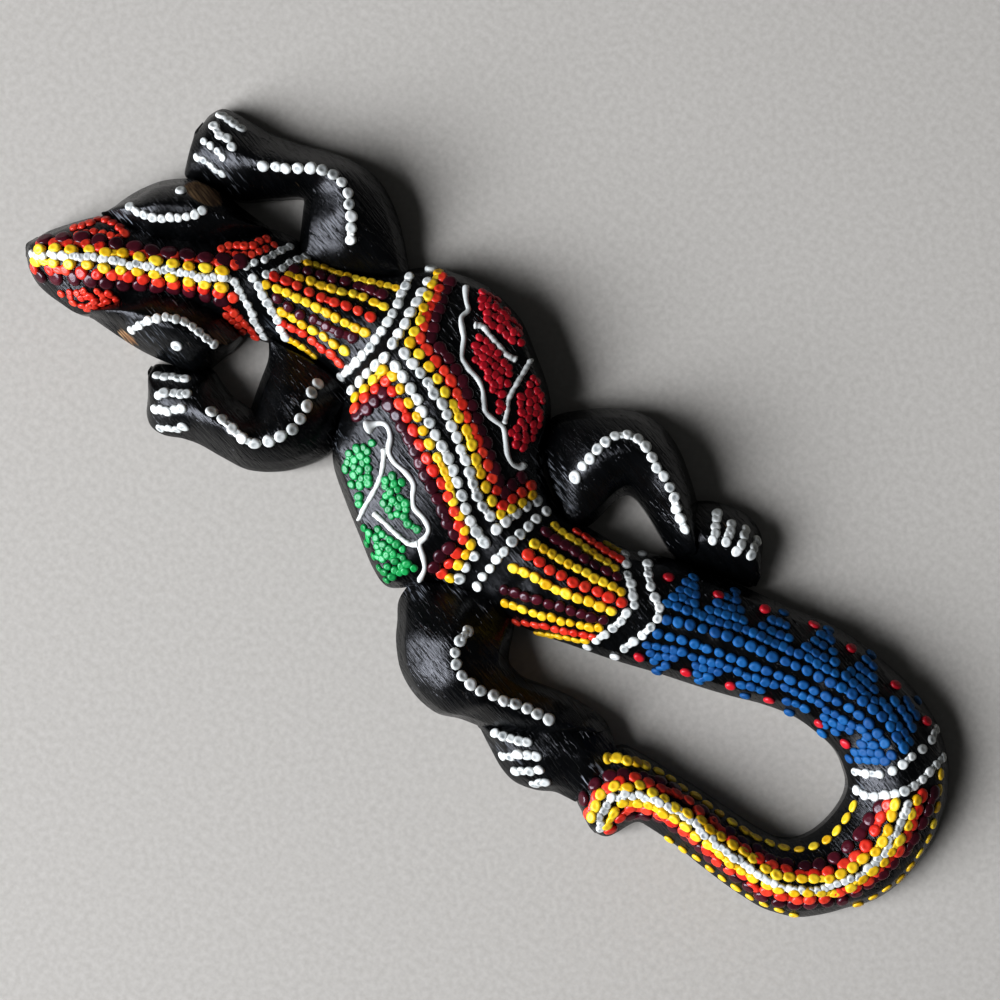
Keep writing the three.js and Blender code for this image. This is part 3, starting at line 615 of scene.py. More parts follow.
def bead_mesh(spots, pit_depths):
    """Vertices, faces and attributes of many beads. A spot is (x, y, width, stretch along, direction x,
    direction y, lift): each bead is the rings turned about its axis, set upright on the wood, stretched
    along its row, with a slightly lumpy rim and its own pit and tone."""
    points, normals = on_wood(spots[:, :2])
    kept = ~np.isnan(points[:, 2]) & (normals[:, 2] > 0.15)
    spots, points, normals = spots[kept], points[kept], normals[kept]
    count = len(spots)
    along = np.column_stack([spots[:, 4:6], np.zeros(count)])
    along -= normals * (along * normals).sum(1, keepdims=True)
    along /= np.linalg.norm(along, axis=1, keepdims=True)
    side = np.cross(normals, along)

    angle = np.linspace(0, 2 * math.pi, BEAD_SIDES, endpoint=False)
    lump_phase = RNG.uniform(0, 2 * math.pi, (count, 2, 1))
    rim = 1 + 0.045 * np.sin(2 * angle + lump_phase[:, 0]) + 0.03 * np.sin(3 * angle + lump_phase[:, 1])
    radius = spots[:, 2] / 2 * MM
    height = np.minimum(spots[:, 2] * BEAD_HEIGHT, TALLEST_BEAD) * MM * RNG.uniform(0.85, 1.15, count)
    pit = RNG.uniform(*pit_depths, count)
    lift = spots[:, 6] * MM

    ring_r, ring_h, ring_pit = BEAD_RINGS.T
    across = rim[:, None, :] * ring_r[None, :, None] * radius[:, None, None]
    u = across * np.cos(angle) * spots[:, 3][:, None, None]
    v = across * np.sin(angle)
    filled = ring_pit[None, :, None] * (1 - pit[:, None, None]) * PIT_FILL
    w = (ring_h[None, :, None] + filled) * height[:, None, None] + lift[:, None, None] + 0 * u
    w[:, 0] -= lift[:, None]
    top_w = height * (PIT_HEIGHT + (1 - pit) * (DOME_TOP - PIT_HEIGHT)) + lift

    def out(u, v, w):
        shape = (count,) + (1,) * (u.ndim - 1) + (3,)
        return (points.reshape(shape) + u[..., None] * along.reshape(shape)
                + v[..., None] * side.reshape(shape) + w[..., None] * normals.reshape(shape))

    rings = out(u, v, w).reshape(count, -1, 3)
    tops = out(np.zeros(count), np.zeros(count), top_w).reshape(count, 1, 3)
    vertices = np.concatenate([rings, tops], 1)
    per_bead = vertices.shape[1]

    ring_count = len(BEAD_RINGS)
    i, j = np.meshgrid(np.arange(ring_count - 1), np.arange(BEAD_SIDES), indexing="ij")
    k = (j + 1) % BEAD_SIDES
    quads = np.stack([i * BEAD_SIDES + j, i * BEAD_SIDES + k, (i + 1) * BEAD_SIDES + k,
                      (i + 1) * BEAD_SIDES + j], -1).reshape(-1, 4)
    j = np.arange(BEAD_SIDES)
    last = (ring_count - 1) * BEAD_SIDES
    caps = np.stack([last + j, last + (j + 1) % BEAD_SIDES, np.full(BEAD_SIDES, per_bead - 1)], -1)
    foot = np.arange(BEAD_SIDES)[::-1]
    offsets = np.arange(count) * per_bead
    faces = [f + o for o in offsets for f in (*quads, *caps, foot)]

    tone = np.repeat(RNG.uniform(0, 0.6, count), per_bead)
    depth = np.append(np.repeat(ring_pit, BEAD_SIDES), 1.0)
    return vertices.reshape(-1, 3), faces, {"tone": tone, "pit": np.outer(np.maximum(pit, 0), depth).ravel()}


def bridges(a, b):
    """Spots of the low necks of paint between beads a and b that ran together."""
    neck = (a + b) / 2
    gap = b[:, :2] - a[:, :2]
    length = np.linalg.norm(gap, axis=1)
    neck[:, 2] *= BRIDGE_WIDTH
    neck[:, 3] = length / neck[:, 2] + 0.25
    neck[:, 4:6] = gap / length[:, None]
    return neck


def row(points, width, pitch=None, stretch=1.0, lift=0.0, wander=0.12, count=None, joined=0.0):
    """Spots of beads dabbed one after another along a curve, each a little off its place and size. Joined
    is the share of neighbours that ran together over a low bridge of paint."""
    where, direction = evenly(points, count=count, pitch=pitch)
    count = len(where)
    where = where[:, :2] + RNG.normal(0, wander, (count, 2))
    spots = np.column_stack([
        where, width * RNG.uniform(0.92, 1.08, count), stretch * RNG.uniform(0.95, 1.1, count), direction,
        np.full(count, lift)])
    met = RNG.random(count - 1) < joined
    return np.vstack([spots, bridges(spots[:-1][met], spots[1:][met])])


def inside(outline, places):
    """Which places lie inside an outline, by counting the outline's crossings to one side."""
    outline = np.asarray(outline, float)
    nxt = np.roll(outline, -1, axis=0)
    x, y = places[:, :1], places[:, 1:2]
    spans = (outline[:, 1] > y) != (nxt[:, 1] > y)
    cut = (outline[:, 0]
           + (y - outline[:, 1]) * (nxt[:, 0] - outline[:, 0]) / (nxt[:, 1] - outline[:, 1] + 1e-9))
    return ((spans & (x < cut)).sum(1) % 2) == 1


FIELD_ROW_GAP = 0.87    # distance between a field's rows, as a share of the pitch along them
FIELD_SHAKE = 0.26      # how far a bead may stray from its grid place, as a share of the pitch


def field(outline, width, pitch, joined=0.3):
    """Spots of small beads that fill an outline: a staggered grid, shaken. Joined is the share of grid
    neighbours that ran together."""
    outline = np.asarray(outline, float)
    low, high = outline.min(0), outline.max(0)
    nx, ny = ((high - low) / pitch).astype(int) + 3
    i, j = np.meshgrid(np.arange(nx), np.arange(ny), indexing="ij")
    places = np.stack([low[0] + (i + 0.5 * (j % 2)) * pitch, low[1] + j * pitch * FIELD_ROW_GAP], -1)
    places += RNG.uniform(-FIELD_SHAKE, FIELD_SHAKE, places.shape) * pitch
    turn = RNG.uniform(0, math.pi, (nx, ny, 1))
    spots = np.concatenate([
        places, width * RNG.uniform(0.88, 1.12, (nx, ny, 1)), RNG.uniform(1.0, 1.25, (nx, ny, 1)),
        np.cos(turn),
        np.sin(turn), 0 * turn], -1)
    within = inside(outline, places.reshape(-1, 2)).reshape(nx, ny)
    necks = []
    for ahead, here in (((slice(1, None), slice(None)), (slice(None, -1), slice(None))),
                        ((slice(None), slice(1, None)), (slice(None), slice(None, -1)))):
        both = within[here] & within[ahead] & (RNG.random(within[here].shape) < joined)
        necks.append(bridges(spots[here][both], spots[ahead][both]))
    return np.vstack([spots[within], *necks])


TRIANGLE_BEAD = 2.35    # width of a bead in the triangles
TRIANGLE_PITCH = 2.1    # distance between them
TRIANGLE_JOINED = 0.75  # share of the close ones that ran together


def triangle(first, second, apex):
    """Spots of beads in rows that shorten from a base line to an apex."""
    first, second, apex = (np.array(p, float) for p in (first, second, apex))
    rows = max(3, round(np.linalg.norm((first + second) / 2 - apex) / TRIANGLE_PITCH) + 1)
    spots = []
    for k in range(rows):
        share = k / (rows - 1)
        a, b = first + (apex - first) * share, second + (apex - second) * share
        count = max(1, round(np.linalg.norm(b - a) / TRIANGLE_PITCH) + (k < rows - 1))
        for q in np.linspace(0, 1, count) if count > 1 else [0.5]:
            spots.append((*(a + (b - a) * q), TRIANGLE_BEAD, 1.15, *(b - a + (1e-3, 0)), 0.0))
    spots = np.array(spots)
    spots[:, 4:6] /= np.linalg.norm(spots[:, 4:6], axis=1, keepdims=True)
    spots[:, :2] += RNG.normal(0, 0.14, (len(spots), 2))
    spots[:, 2] *= RNG.uniform(0.9, 1.1, len(spots))
    near = np.linalg.norm(np.diff(spots[:, :2], axis=0), axis=1) < 1.3 * TRIANGLE_PITCH
    met = near & (RNG.random(len(near)) < TRIANGLE_JOINED)
    return np.vstack([spots, bridges(spots[:-1][met], spots[1:][met])])


def beads(name, colour, groups, nodes=()):
    """One piece of paint: all its beads of one colour."""
    vertices, faces, attributes = bead_mesh(np.vstack(groups), PIT_DEPTHS[colour])
    piece = mesh_object(name, vertices, faces, attributes)
    return finish_piece(piece, PAINTS[colour], nodes)


def squeezed_line(name, points, width, nodes, blobs=(1.3, 1.3)):
    """A line squeezed from a fine nozzle: a half-round profile carried along the curve, swelling and
    thinning a little, half sunk in the wood. Its round ends swell to blobs, given as shares of the width."""
    count = max(24, int(len(points) * 14))
    where, direction = evenly(points, count=count)
    surface, normals = on_wood(where[:, :2])
    kept = ~np.isnan(surface[:, 2])
    where, direction, surface, normals = where[kept], direction[kept], surface[kept], normals[kept]
    for _ in range(6):
        normals[1:-1] = (normals[:-2] + 2 * normals[1:-1] + normals[2:]) / 4
    normals /= np.linalg.norm(normals, axis=1, keepdims=True)
    along = np.column_stack([direction, np.zeros(len(direction))])
    side = np.cross(normals, along)
    side /= np.linalg.norm(side, axis=1, keepdims=True)
    share = np.linspace(0, 1, len(where))
    swell = 1 + 0.10 * np.sin(share * 31 + 1) + 0.07 * np.sin(share * 67)
    run = np.concatenate([[0], np.cumsum(np.linalg.norm(np.diff(surface, axis=0), axis=1))]) / MM
    for size, distance in zip(blobs, (run, run[-1] - run)):
        swell *= 1 + (size - 1) * np.exp(-((distance - 0.8) / 1.3) ** 2)
    ends = np.sqrt(np.clip(1 - (1 - np.minimum(share, 1 - share) * count / 3).clip(0) ** 2, 0.02, 1))
    radius = width / 2 * MM * swell * ends
    turn = np.linspace(-0.25, math.pi + 0.25, 10)
    rows = (surface[:, None] + radius[:, None, None] * (
        np.cos(turn)[None, :, None] * side[:, None] + 0.85 * np.sin(turn)[None, :, None] * normals[:, None]))
    quads, start, end = loft_faces(*rows.shape[:2])
    flat = rows.reshape(-1, 3)
    outward = np.cross(flat[quads[:, 1]] - flat[quads[:, 0]], flat[quads[:, 3]] - flat[quads[:, 0]])
    top = 4 + np.arange(0, len(quads), 10)
    if (outward[top] * np.repeat(normals, 1, 0)[:len(top)]).sum() < 0:
        quads, start, end = quads[:, ::-1], start[::-1], end[::-1]
    tone = np.full(len(flat), 0.35)
    piece = mesh_object(name, flat, [*quads, start, end], {"tone": tone, "pit": 0 * tone})
    return finish_piece(piece, PAINTS["white"], nodes)


# ---------------------------------------------------------------- where the paint goes

HEAD_RIDGE = [(-122.8, -15.4), (-118.7, -12.7), (-113.6, -9.8), (-108.4, -6.7), (-102.8, -3.8),
              (-97.9, -1.1),
              (-92.6, 1.3), (-87.4, 3.9), (-82.9, 6.7)]


def paint_head():
    rows = {
        "white": [
            row(HEAD_RIDGE, 2.2, 1.35, lift=0.42, wander=0.3),
            row([(-80.5, 11.6), (-79.4, 13.8), (-78.1, 15.7), (-76.9, 18.1), (-75.2, 21.4)], 2.1, count=6,
                joined=0.7),
            row([(-82.9, 6.7), (-80.6, 6.8), (-78.5, 6), (-76.2, 4.9), (-73.5, 4), (-71.8, 2.5),
                 (-67.6, 0.8)], 2.2,
                count=9, joined=0.85),
        ],
        "yellow": [
            row([(-122.2, -13.6), (-117.8, -10.5), (-111.5, -6.5), (-103.8, -2.4), (-95.9, 1.4),
                 (-88.5, 5.6),
                 (-84.7, 7.6)], 2.55, stretch=1.2, lift=0.45, count=12, joined=0.2),
            row([(-121.1, -16.4), (-115, -12.3), (-107.9, -8.5), (-101.1, -4.5), (-94, -0.9), (-86.6, 2.4),
                 (-82.5, 4.5)], 2.6, stretch=1.2, lift=0.45, count=12, joined=0.2),
        ],
        "red": [
            row([(-122.9, -12.5), (-118.8, -9.7), (-113.7, -6.1), (-106.8, -2.7), (-101.2, 0), (-95.6, 3.7),
                 (-87.6, 7.9), (-83.1, 10.3)], 2.8, lift=0.1, count=14, joined=0.5),
            row([(-120.4, -17.6), (-115.2, -14.3), (-108.6, -10.7), (-101.4, -6.5), (-94.7, -2.9),
                 (-87.2, 0.9),
                 (-78.8, 4)], 3.0, lift=0.25, count=14, joined=0.2),
            row([(-118.6, -4.7), (-115.9, -1.1), (-113.9, 0.9), (-111.4, 1.6), (-108.2, 1)],
                2.5, 1.8, joined=0.6),
            row([(-117.1, -5.6), (-113.6, -2.5), (-108.7, -0.6)], 2.2, 2.0, joined=0.5),
            row([(-87.7, 11.4), (-86.4, 13.2), (-84.6, 14.8), (-82.3, 16.5), (-80.4, 19.7)],
                2.3, 1.9, joined=0.7),
            row([(-85.6, 11.4), (-83.1, 13.2), (-81, 15.1), (-79.6, 17.2), (-78.3, 19.4)],
                2.0, 1.9, joined=0.5),
            field([(-114.5, -20.3), (-111.4, -17.7), (-107.1, -14.6), (-104, -12.3), (-100.3, -10.8),
                   (-100, -12.1),
                   (-101.8, -13.7), (-102.5, -16), (-103.1, -18.5), (-106.4, -18.8), (-111.8, -20.3)],
                   1.95, 1.8, 0.5),
            row([(-78.7, 1.2), (-75.6, 1), (-72.6, 0.6), (-69, -0.6)], 2.2, 1.9, joined=0.6),
            row([(-77.5, -0.6), (-74.2, -0.8), (-70.8, -1.2)], 2.1, 1.9, joined=0.6),
        ],
        "maroon": [
            row([(-122.3, -11.3), (-116.9, -6.8), (-109.3, -2.6), (-101.6, 1), (-93.9, 5.2), (-86.4, 9.1),
                 (-82.5, 11.9)], 3.9, stretch=1.05, lift=0.2, count=12),
            row([(-118.7, -18.6), (-112.9, -15.2), (-105.5, -11), (-98.5, -6.8), (-91.7, -2.7), (-84.5, 0.4),
                 (-80.5, 1.8)], 3.7, count=12),
        ],
    }
    centre = ["head_centre_row"]
    yellow = ["head_yellow_row_right", "head_yellow_row_left"]
    for colour, nodes in (("white", centre), ("yellow", yellow), ("red", []), ("maroon", [])):
        beads(f"head_{colour}_beads", colour, rows[colour], nodes)


def paint_eyes():
    beads("eye_dot_right_bead", "white", [np.array([(-103.5, 16.9, 2.8, 1, 1, 0, 0)])], ["eye_dot_right"])
    beads("eye_dot_left_bead", "white", [np.array([(-82.9, -13, 3.0, 1, 1, 0, 0)])], ["eye_dot_left"])
    beads("eye_arc_right_beads", "white", [
        row([(-110.9, 7), (-107.6, 7.3), (-104.6, 8.3), (-101.7, 10.6), (-99.5, 11.9), (-97.9, 14),
             (-96.6, 16.1)],
            2.35, count=10, joined=0.6)], ["eye_arc_right"])
    beads("eye_arc_left_beads", "white", [
        row([(-93.5, -16.4), (-92.9, -14.4), (-91.8, -12.3), (-90.2, -10.5), (-88.2, -8.8), (-86, -7.8),
             (-82.1, -7.4), (-79.9, -7.5), (-76.1, -7.6)], 2.35, count=11, joined=0.75)], ["eye_arc_left"])


def paint_legs():
    lines = {
        "front_right_leg": ([(-91.2, 33.1), (-89, 34.4), (-86.1, 36.3), (-83.7, 37.9), (-81.3, 39.5),
                             (-79, 40.6),
                             (-76, 41.2), (-73.3, 40.5), (-70.5, 38.4), (-68.1, 36.4), (-66.5, 34.4),
                             (-64.6, 31.2)], 2.75, 2.75),
        "front_left_leg": ([(-50.8, -3.6), (-49.5, -7.9), (-49.4, -11.3), (-49.9, -14.3), (-51.5, -17.2),
                            (-53.5, -19.9), (-55.8, -21.1), (-58.2, -21.4), (-61.4, -21.2), (-67.2, -20.9)],
                            3.0, 3.05),
        "rear_right_leg": ([(10.9, 20), (11.3, 23.8), (11.7, 26.8), (12.9, 30), (14.6, 31.8), (17.4, 32.6),
                            (20, 32.1), (25.1, 30.4), (30.6, 28), (35.1, 24.8), (38.9, 22.3)], 2.7, 2.65),
        "rear_left_leg": ([(11.7, -27.2), (11.7, -29.4), (12.3, -32.5), (14.2, -34.9), (17.1, -36.5),
                           (20.3, -37),
                           (26.3, -35.8), (33.1, -34), (39.5, -32.9)], 2.8, 3.0),
    }
    extra = {
        "front_left_leg": [(-50.8, -0.9, 3.0, 1, 1, 0, 0)],
        "rear_right_leg": [(11, 17, 3.4, 1, 1, 0, 0)],
    }
    for leg, (points, width, pitch) in lines.items():
        spots = [row(points, width, pitch, joined=0.45)]
        if leg in extra:
            spots.append(np.array(extra[leg], float))
        beads(leg + "_bead_line", "white", spots, [leg + "_beads"])


TOES = {
    "front_right": [[(-106, 36.8), (-100.4, 36.8)], [(-106, 33.5), (-99.8, 32.6)],
                    [(-105.5, 29.7), (-100.2, 29.2)],
                    [(-104.7, 25.7), (-98, 25.9)]],
    "front_left": [[(-82.4, -21.5), (-76.4, -18.2)], [(-79.7, -24.9), (-74.4, -20.8)],
                   [(-78.1, -28.3), (-73.1, -24.4)], [(-74.6, -30.7), (-70.1, -27.8)]],
    "rear_right": [[(43.3, 29.9), (45.9, 23.8)], [(47.4, 29.9), (48.8, 25.4)], [(50.7, 30.5), (52.2, 25.4)],
                   [(54.6, 29.9), (55.2, 26.5)]],
    "rear_left": [[(31.1, -43.1), (38.5, -40.1)], [(35.5, -46.1), (42, -41.6)],
                  [(40.3, -47.5), (44.5, -43.9)],
                  [(45.5, -47), (47.7, -44.9)]],
}


def paint_toes():
    for foot, stripes in TOES.items():
        for i, (tip, root) in enumerate(stripes):
            width = 1.8 if foot == "front_right" and i > 1 else 2.45
            name = f"{foot}_toe_stripe_{i + 1}"
            beads(name + "_beads", "white", [row([tip, root], width, 1.8, 1.15, wander=0.2, joined=0.9)],
                  [name])


def paint_neck():
    rows = {
        "yellow": [
            row([(-69.2, 20.7), (-64.9, 22.2), (-61.3, 23.3), (-55.4, 25.6), (-49.2, 28.1)],
                2.1, 1.9, 1.2, joined=0.9),
            row([(-71.2, 16.1), (-63.9, 18.3), (-58.7, 20.1), (-52.9, 22.1), (-48.9, 23)],
                2.4, 2.7, 1.15, joined=0.5),
            row([(-74.3, 10.9), (-65, 13.1), (-58.8, 13.9), (-52.5, 14.8), (-48.8, 15.5)],
                2.4, 2.6, 1.15, joined=0.6),
            row([(-67.6, 8.1), (-63.2, 8.1), (-60.2, 8.6), (-56.8, 8.8), (-50.5, 9.2)],
                2.4, 2.9, 1.15, joined=0.4),
            row([(-62.3, 3.8), (-58.5, 4.3), (-55.4, 4)], 2.1, 1.9, 1.2, joined=0.8),
        ],
        "maroon": [
            row([(-71.2, 17.9), (-63.8, 20.6), (-57.2, 23.2), (-50.6, 25.1)], 2.9, 3.0, joined=0.5),
            row([(-70.3, 9.7), (-63.8, 10.2), (-57, 11.5), (-50.6, 12.8)], 2.9, 3.1, joined=0.3),
        ],
        "red": [
            row([(-74, 13.2), (-69.9, 14.6), (-64.1, 15.6), (-57.2, 17.6), (-50.1, 19.2)],
                2.55, 3.0, 1.1, joined=0.25),
            row([(-66.1, 5.7), (-59.1, 6.7), (-49.6, 6.3)], 2.4, 2.6, 1.2, joined=0.4),
        ],
        "white": [
            row([(-70.5, 21.5), (-71.8, 19.7), (-72.8, 18.1), (-73.9, 15.5), (-75.7, 12.7)],
                2.2, 1.9, joined=0.8),
            row([(-77.6, 10.5), (-75.8, 9.7), (-73.8, 8.5), (-70.5, 7.3), (-68.6, 6.3), (-65.8, 4.8),
                 (-63.6, 3.4)], 2.5,
                2.2, joined=0.85),
            row([(-48.2, 32.3), (-47.2, 28.1), (-46.6, 25.3), (-46.1, 21.9), (-45.8, 15.7), (-46.1, 10.7),
                 (-47.1, 3.9)], 2.6, count=13, joined=0.45),
        ],
    }
    for colour, groups in rows.items():
        beads(f"neck_{colour}_beads", colour, groups)


# Each border is some runs of beads: the curve, and how many beads it takes.
RIGHT_BORDERS = {
    "white": [([(-44.9, 36.2), (-43.6, 32), (-42.9, 26.9), (-41.8, 17)], 8),
              ([(-38.4, 16.8), (-31.7, 15.1), (-25.3, 12.7), (-17.7, 8.7), (-10.6, 3.9), (-3.8, -0.8),
                (0.3, -2.2)], 16),
              ([(3.2, -4), (4, -0.6), (5.9, 4.8), (6.9, 7.1)], 5)],
    "yellow": [([(-43.2, 36.6), (-41.7, 31.1), (-40.2, 25.5), (-38.8, 19.5)], 7),
               ([(-35.4, 18.6), (-28.9, 16.7), (-21.9, 13.5), (-14.8, 9.9), (-7.4, 4.5), (-1.8, 0.8)], 12),
               ([(1.9, -0.6), (3.3, 2.4), (5.4, 7.4)], 4)],
    "red": [([(-41.7, 36.4), (-40.1, 32.2), (-39.5, 27.7), (-37.5, 22.1)], 7),
            ([(-34.6, 20.5), (-28.6, 18.9), (-22.6, 16.4), (-17.3, 13.1), (-9.4, 8.4), (-2.2, 3.7)], 13),
            ([(1.3, 1.5), (2.5, 5.6), (3.8, 9)], 4)],
    "maroon": [([(-39.8, 36.8), (-38.5, 31.8), (-37.2, 27.7), (-35.5, 23.6)], 7),
               ([(-32.5, 22.8), (-27, 21.1), (-21.5, 18.2), (-16.5, 14.9), (-10.7, 11.3), (-5.8, 7.6),
                 (-0.4, 4.2)], 13),
               ([(0.1, 6.7), (0.8, 9.5)], 2)],
}
LEFT_BORDERS = {
    "white": [([(-43.3, 2.6), (-42.8, 7.7), (-41.7, 13.4)], 5),
              ([(-38.3, 13.4), (-32.3, 11.1), (-25.9, 8), (-18.2, 4.4), (-10.4, -0.6), (-2.9, -5.9),
                (2.7, -7.8)], 16),
              ([(2.6, -11.9), (2.9, -18.2)], 3)],
    "yellow": [([(-41.7, 1.8), (-40.7, 7.6), (-40.2, 10.7), (-37.4, 11)], 5),
               ([(-34.2, 9.7), (-27.7, 6.8), (-21.6, 3.5), (-14.5, 0.1), (-8.5, -4.6), (0.4, -10.2)], 12),
               ([(0.8, -12.7), (0.9, -19.3)], 3)],
    "red": [([(-40.2, -0.3), (-39.2, 5.7), (-38.2, 9.3)], 4),
            ([(-35.4, 8.2), (-29.4, 5.2), (-23.3, 2), (-16.5, -1.4), (-10, -4.6), (-1.7, -10.3)], 12),
            ([(-1.1, -13.9), (-1.1, -19.6)], 3)],
    "maroon": [([(-38.7, -1.3), (-37.6, 3.8)], 3),
               ([(-37.1, 6.5), (-32, 4.2), (-26, 1.4), (-18.1, -3.1), (-11.6, -6.4), (-4.1, -10.5)], 13),
               ([(-3.3, -14), (-3.7, -16.5), (-3.3, -19.6)], 3)],
}
# Width, lift over the wood and share of joined neighbours of a border bead.
BORDER_BEAD = {"white": (2.75, 0.3, 0.3), "yellow": (2.65, 0.3, 0.25), "red": (2.85, 0.18, 0.2),
               "maroon": (3.3, 0.0, 0.3)}


def paint_trunk_borders():
    for side, borders in (("right", RIGHT_BORDERS), ("left", LEFT_BORDERS)):
        for colour, runs in borders.items():
            width, lift, joined = BORDER_BEAD[colour]
            groups = [row(run, width, count=count, stretch=1.05, lift=lift, joined=joined) for run,
                      count in runs]
            node = [f"{side}_panel_{colour}_border"] if colour != "maroon" else []
            beads(f"{side}_panel_{colour}_beads", colour, groups, node)


CRIMSON_FIELDS = [
    [(-34, 40), (-30.6, 40.8), (-24.9, 39.5), (-20.4, 38.2), (-16.5, 35.7), (-17.4, 33), (-22.9, 33.4),
     (-27.4, 34.7), (-30.6, 36)],
    [(-27.4, 31.2), (-23.6, 30.5), (-19.1, 29.9), (-14.6, 28.6), (-14, 25.1), (-13.3, 22.5), (-11.7, 18.9),
     (-14, 18.9), (-16.5, 21.2), (-19.1, 23.2), (-23.6, 24.4), (-26.2, 27), (-27.8, 29.6)],
    [(-11, 30.6), (-7.6, 29.6), (-5.1, 26.6), (-3.3, 23.2), (-2.4, 17.4), (-2.6, 13.5), (-5.6, 14.2),
     (-7.9, 17.1),
     (-9.8, 21.2), (-11.1, 26.4)],
]
GREEN_FIELDS = [
    [(-32.6, -2.2), (-35.1, -6.3), (-37.3, -10.2), (-33.8, -13.3), (-30.6, -16), (-27.4, -19.7),
     (-25.8, -18.8),
     (-26.8, -14.7), (-27.8, -11.1), (-29.4, -7.6), (-30.6, -5.4)],
    [(-26.4, -6.4), (-20.4, -7.2), (-19.1, -9.9), (-16.5, -12.2), (-12.5, -13.5), (-11.2, -15.3),
     (-16.5, -16.1),
     (-22.9, -15.2), (-24.1, -11.5)],
    [(-22.2, -21.8), (-20.1, -20.2), (-14, -20.2), (-7.4, -21), (-7, -23.6), (-8.6, -26.2), (-10.1, -28.9),
     (-14, -27.8), (-17.8, -25.8), (-21, -23.6)],
]


def paint_panels():
    beads("right_panel_crimson_beads", "crimson",
          [field(outline, 2.0, 1.86, 0.45) for outline in CRIMSON_FIELDS])
    beads("left_panel_green_beads", "green", [field(outline, 2.05, 1.9, 0.25) for outline in GREEN_FIELDS])
    squeezed_line("right_panel_relief_main", [
        (-36.3, 38.4), (-35.1, 36.6), (-33.8, 35.2), (-32.4, 33.9), (-32.7, 31.6), (-31, 29.6), (-29.4, 28),
        (-28.1, 25.7), (-26.8, 23.9), (-24.2, 22.8), (-21, 22.1), (-18.5, 20.6), (-16.5, 18.3),
        (-14.9, 16.9),
        (-12.1, 16.6), (-9.5, 16.4), (-7.2, 14.2), (-5, 11.9), (-2.8, 10.8), (-0.8, 11.4), (-0.6, 12.8)],
        1.3, ["right_panel_relief_line"], (1.1, 1.7))
    squeezed_line("right_panel_relief_fork", [
        (-9.8, 17.1), (-10.8, 19.6), (-12.4, 22.5), (-13, 26.4), (-13.3, 30.2), (-13.7, 33.4)],
        1.3, ["right_panel_relief_branch"], (1.0, 1.4))
    squeezed_line("right_panel_relief_dash", [
        (-29.4, 31.8), (-27.4, 32.8), (-24.9, 32.1), (-21.7, 31.4), (-18.5, 30.7), (-16.2, 31.2)],
        1.45, ["right_panel_relief_short"], (1.2, 1.3))
    squeezed_line("left_panel_relief_main", [
        (-35.8, -2.8), (-33.8, 0.1), (-31.9, 0.7), (-29.7, -0.9), (-28.1, -3.8), (-25.5, -5.2),
        (-21.7, -5.6),
        (-18.8, -6.7), (-17.2, -9.2), (-15.3, -11.1), (-12.1, -11.8), (-9.8, -13.1), (-9.2, -15),
        (-9.4, -17.2),
        (-6.9, -19.2), (-5.1, -21.1), (-4.5, -23.3), (-4.7, -24.6)],
        1.35, ["left_panel_relief_line"], (2.2, 1.3))
    squeezed_line("left_panel_relief_fork", [
        (-9.4, -17.2), (-11.4, -18.6), (-15.3, -18.5), (-19.1, -18), (-22.6, -17.7)],
        1.3, ["left_panel_relief_branch"])
    squeezed_line("left_panel_relief_dash", [
        (-29.4, -3.8), (-27.1, -7.6), (-25.8, -10.8), (-25.2, -14.7), (-24.9, -17.9), (-24.2, -21.4)],
        1.25, ["left_panel_relief_second"], (1.2, 1.2))


def paint_hip():
    rows = {
        "yellow": [
            row([(26.3, 8.7), (29.4, 8.9)], 2.1, count=3, stretch=1.2, joined=1),
            row([(14.1, 4.7), (21.7, 4.8), (31.1, 5.1)], 2.4, count=9, stretch=1.1, joined=0.8),
            row([(12.7, -1.5), (22.8, -0.3), (35.4, 1.5)], 2.55, count=11, stretch=1.1, joined=0.45),
            row([(11.9, -8.6), (24.6, -6.5), (36.2, -3.5)], 2.6, count=10, stretch=1.1, joined=0.45),
            row([(15.1, -16.7), (26.2, -13), (36.4, -8.5)], 2.4, count=11, stretch=1.1, joined=0.3),
            row([(24.5, -18.4), (28.8, -16), (35.5, -12.9)], 2.0, count=7, stretch=1.2, joined=0.7),
        ],
        "red": [
            row([(19.2, 6.9), (22.1, 6.9), (26, 7.1), (30.7, 7.5)], 2.3, count=7, stretch=1.2, joined=0.7),
            row([(12.9, -4.4), (22.7, -3.5), (37.1, -0.4)], 2.75, count=9, stretch=1.05),
            row([(19.8, -18.4), (26, -15.6), (36.5, -11.1)], 2.2, count=9, stretch=1.2, joined=0.4),
        ],
        "maroon": [
            row([(13, 2.5), (24.2, 2.8), (32.6, 3.7)], 2.7, count=8, stretch=1.15, joined=0.4),
            row([(13, -14.2), (25.7, -9.8), (36.1, -6.4)], 2.95, count=10, joined=0.5),
        ],
        "white": [
            row([(10.1, 6.2), (9.4, 3.6), (8.3, -1.9), (7.5, -8.1), (7.3, -14.8), (7.5, -17.4)],
                2.6, count=10,
                joined=0.2),
            row([(31.1, 9.3), (34.4, 5.7), (39.3, 1.6), (39.9, -1), (39.1, -6.4), (36.6, -13.4)],
                2.5, count=12,
                joined=0.45),
            row([(34.4, 11.6), (36.3, 10.8), (40.4, 6.7), (45.5, 3.3), (46.2, 1.1), (45.2, -4.7),
                 (43.2, -11.5)], 2.5,
                count=12, joined=0.45),
        ],
    }
    for colour, groups in rows.items():
        beads(f"hip_{colour}_beads", colour, groups)


TAIL_UPPER = [(48, 2.6), (56.5, 6), (65.6, 8.5), (75.5, 10.7), (84.7, 12.7), (93, 13.9), (100.9, 13.8),
              (106.5, 12.6),
              (110.8, 10.8)]
TAIL_LOWER = [(48.3, -1.3), (57.1, 2.1), (65.2, 4.2), (74, 6.7), (84.3, 9.2), (93.4, 10.7), (99.6, 10.8),
              (104.8, 9.8), (109.6, 8.3)]
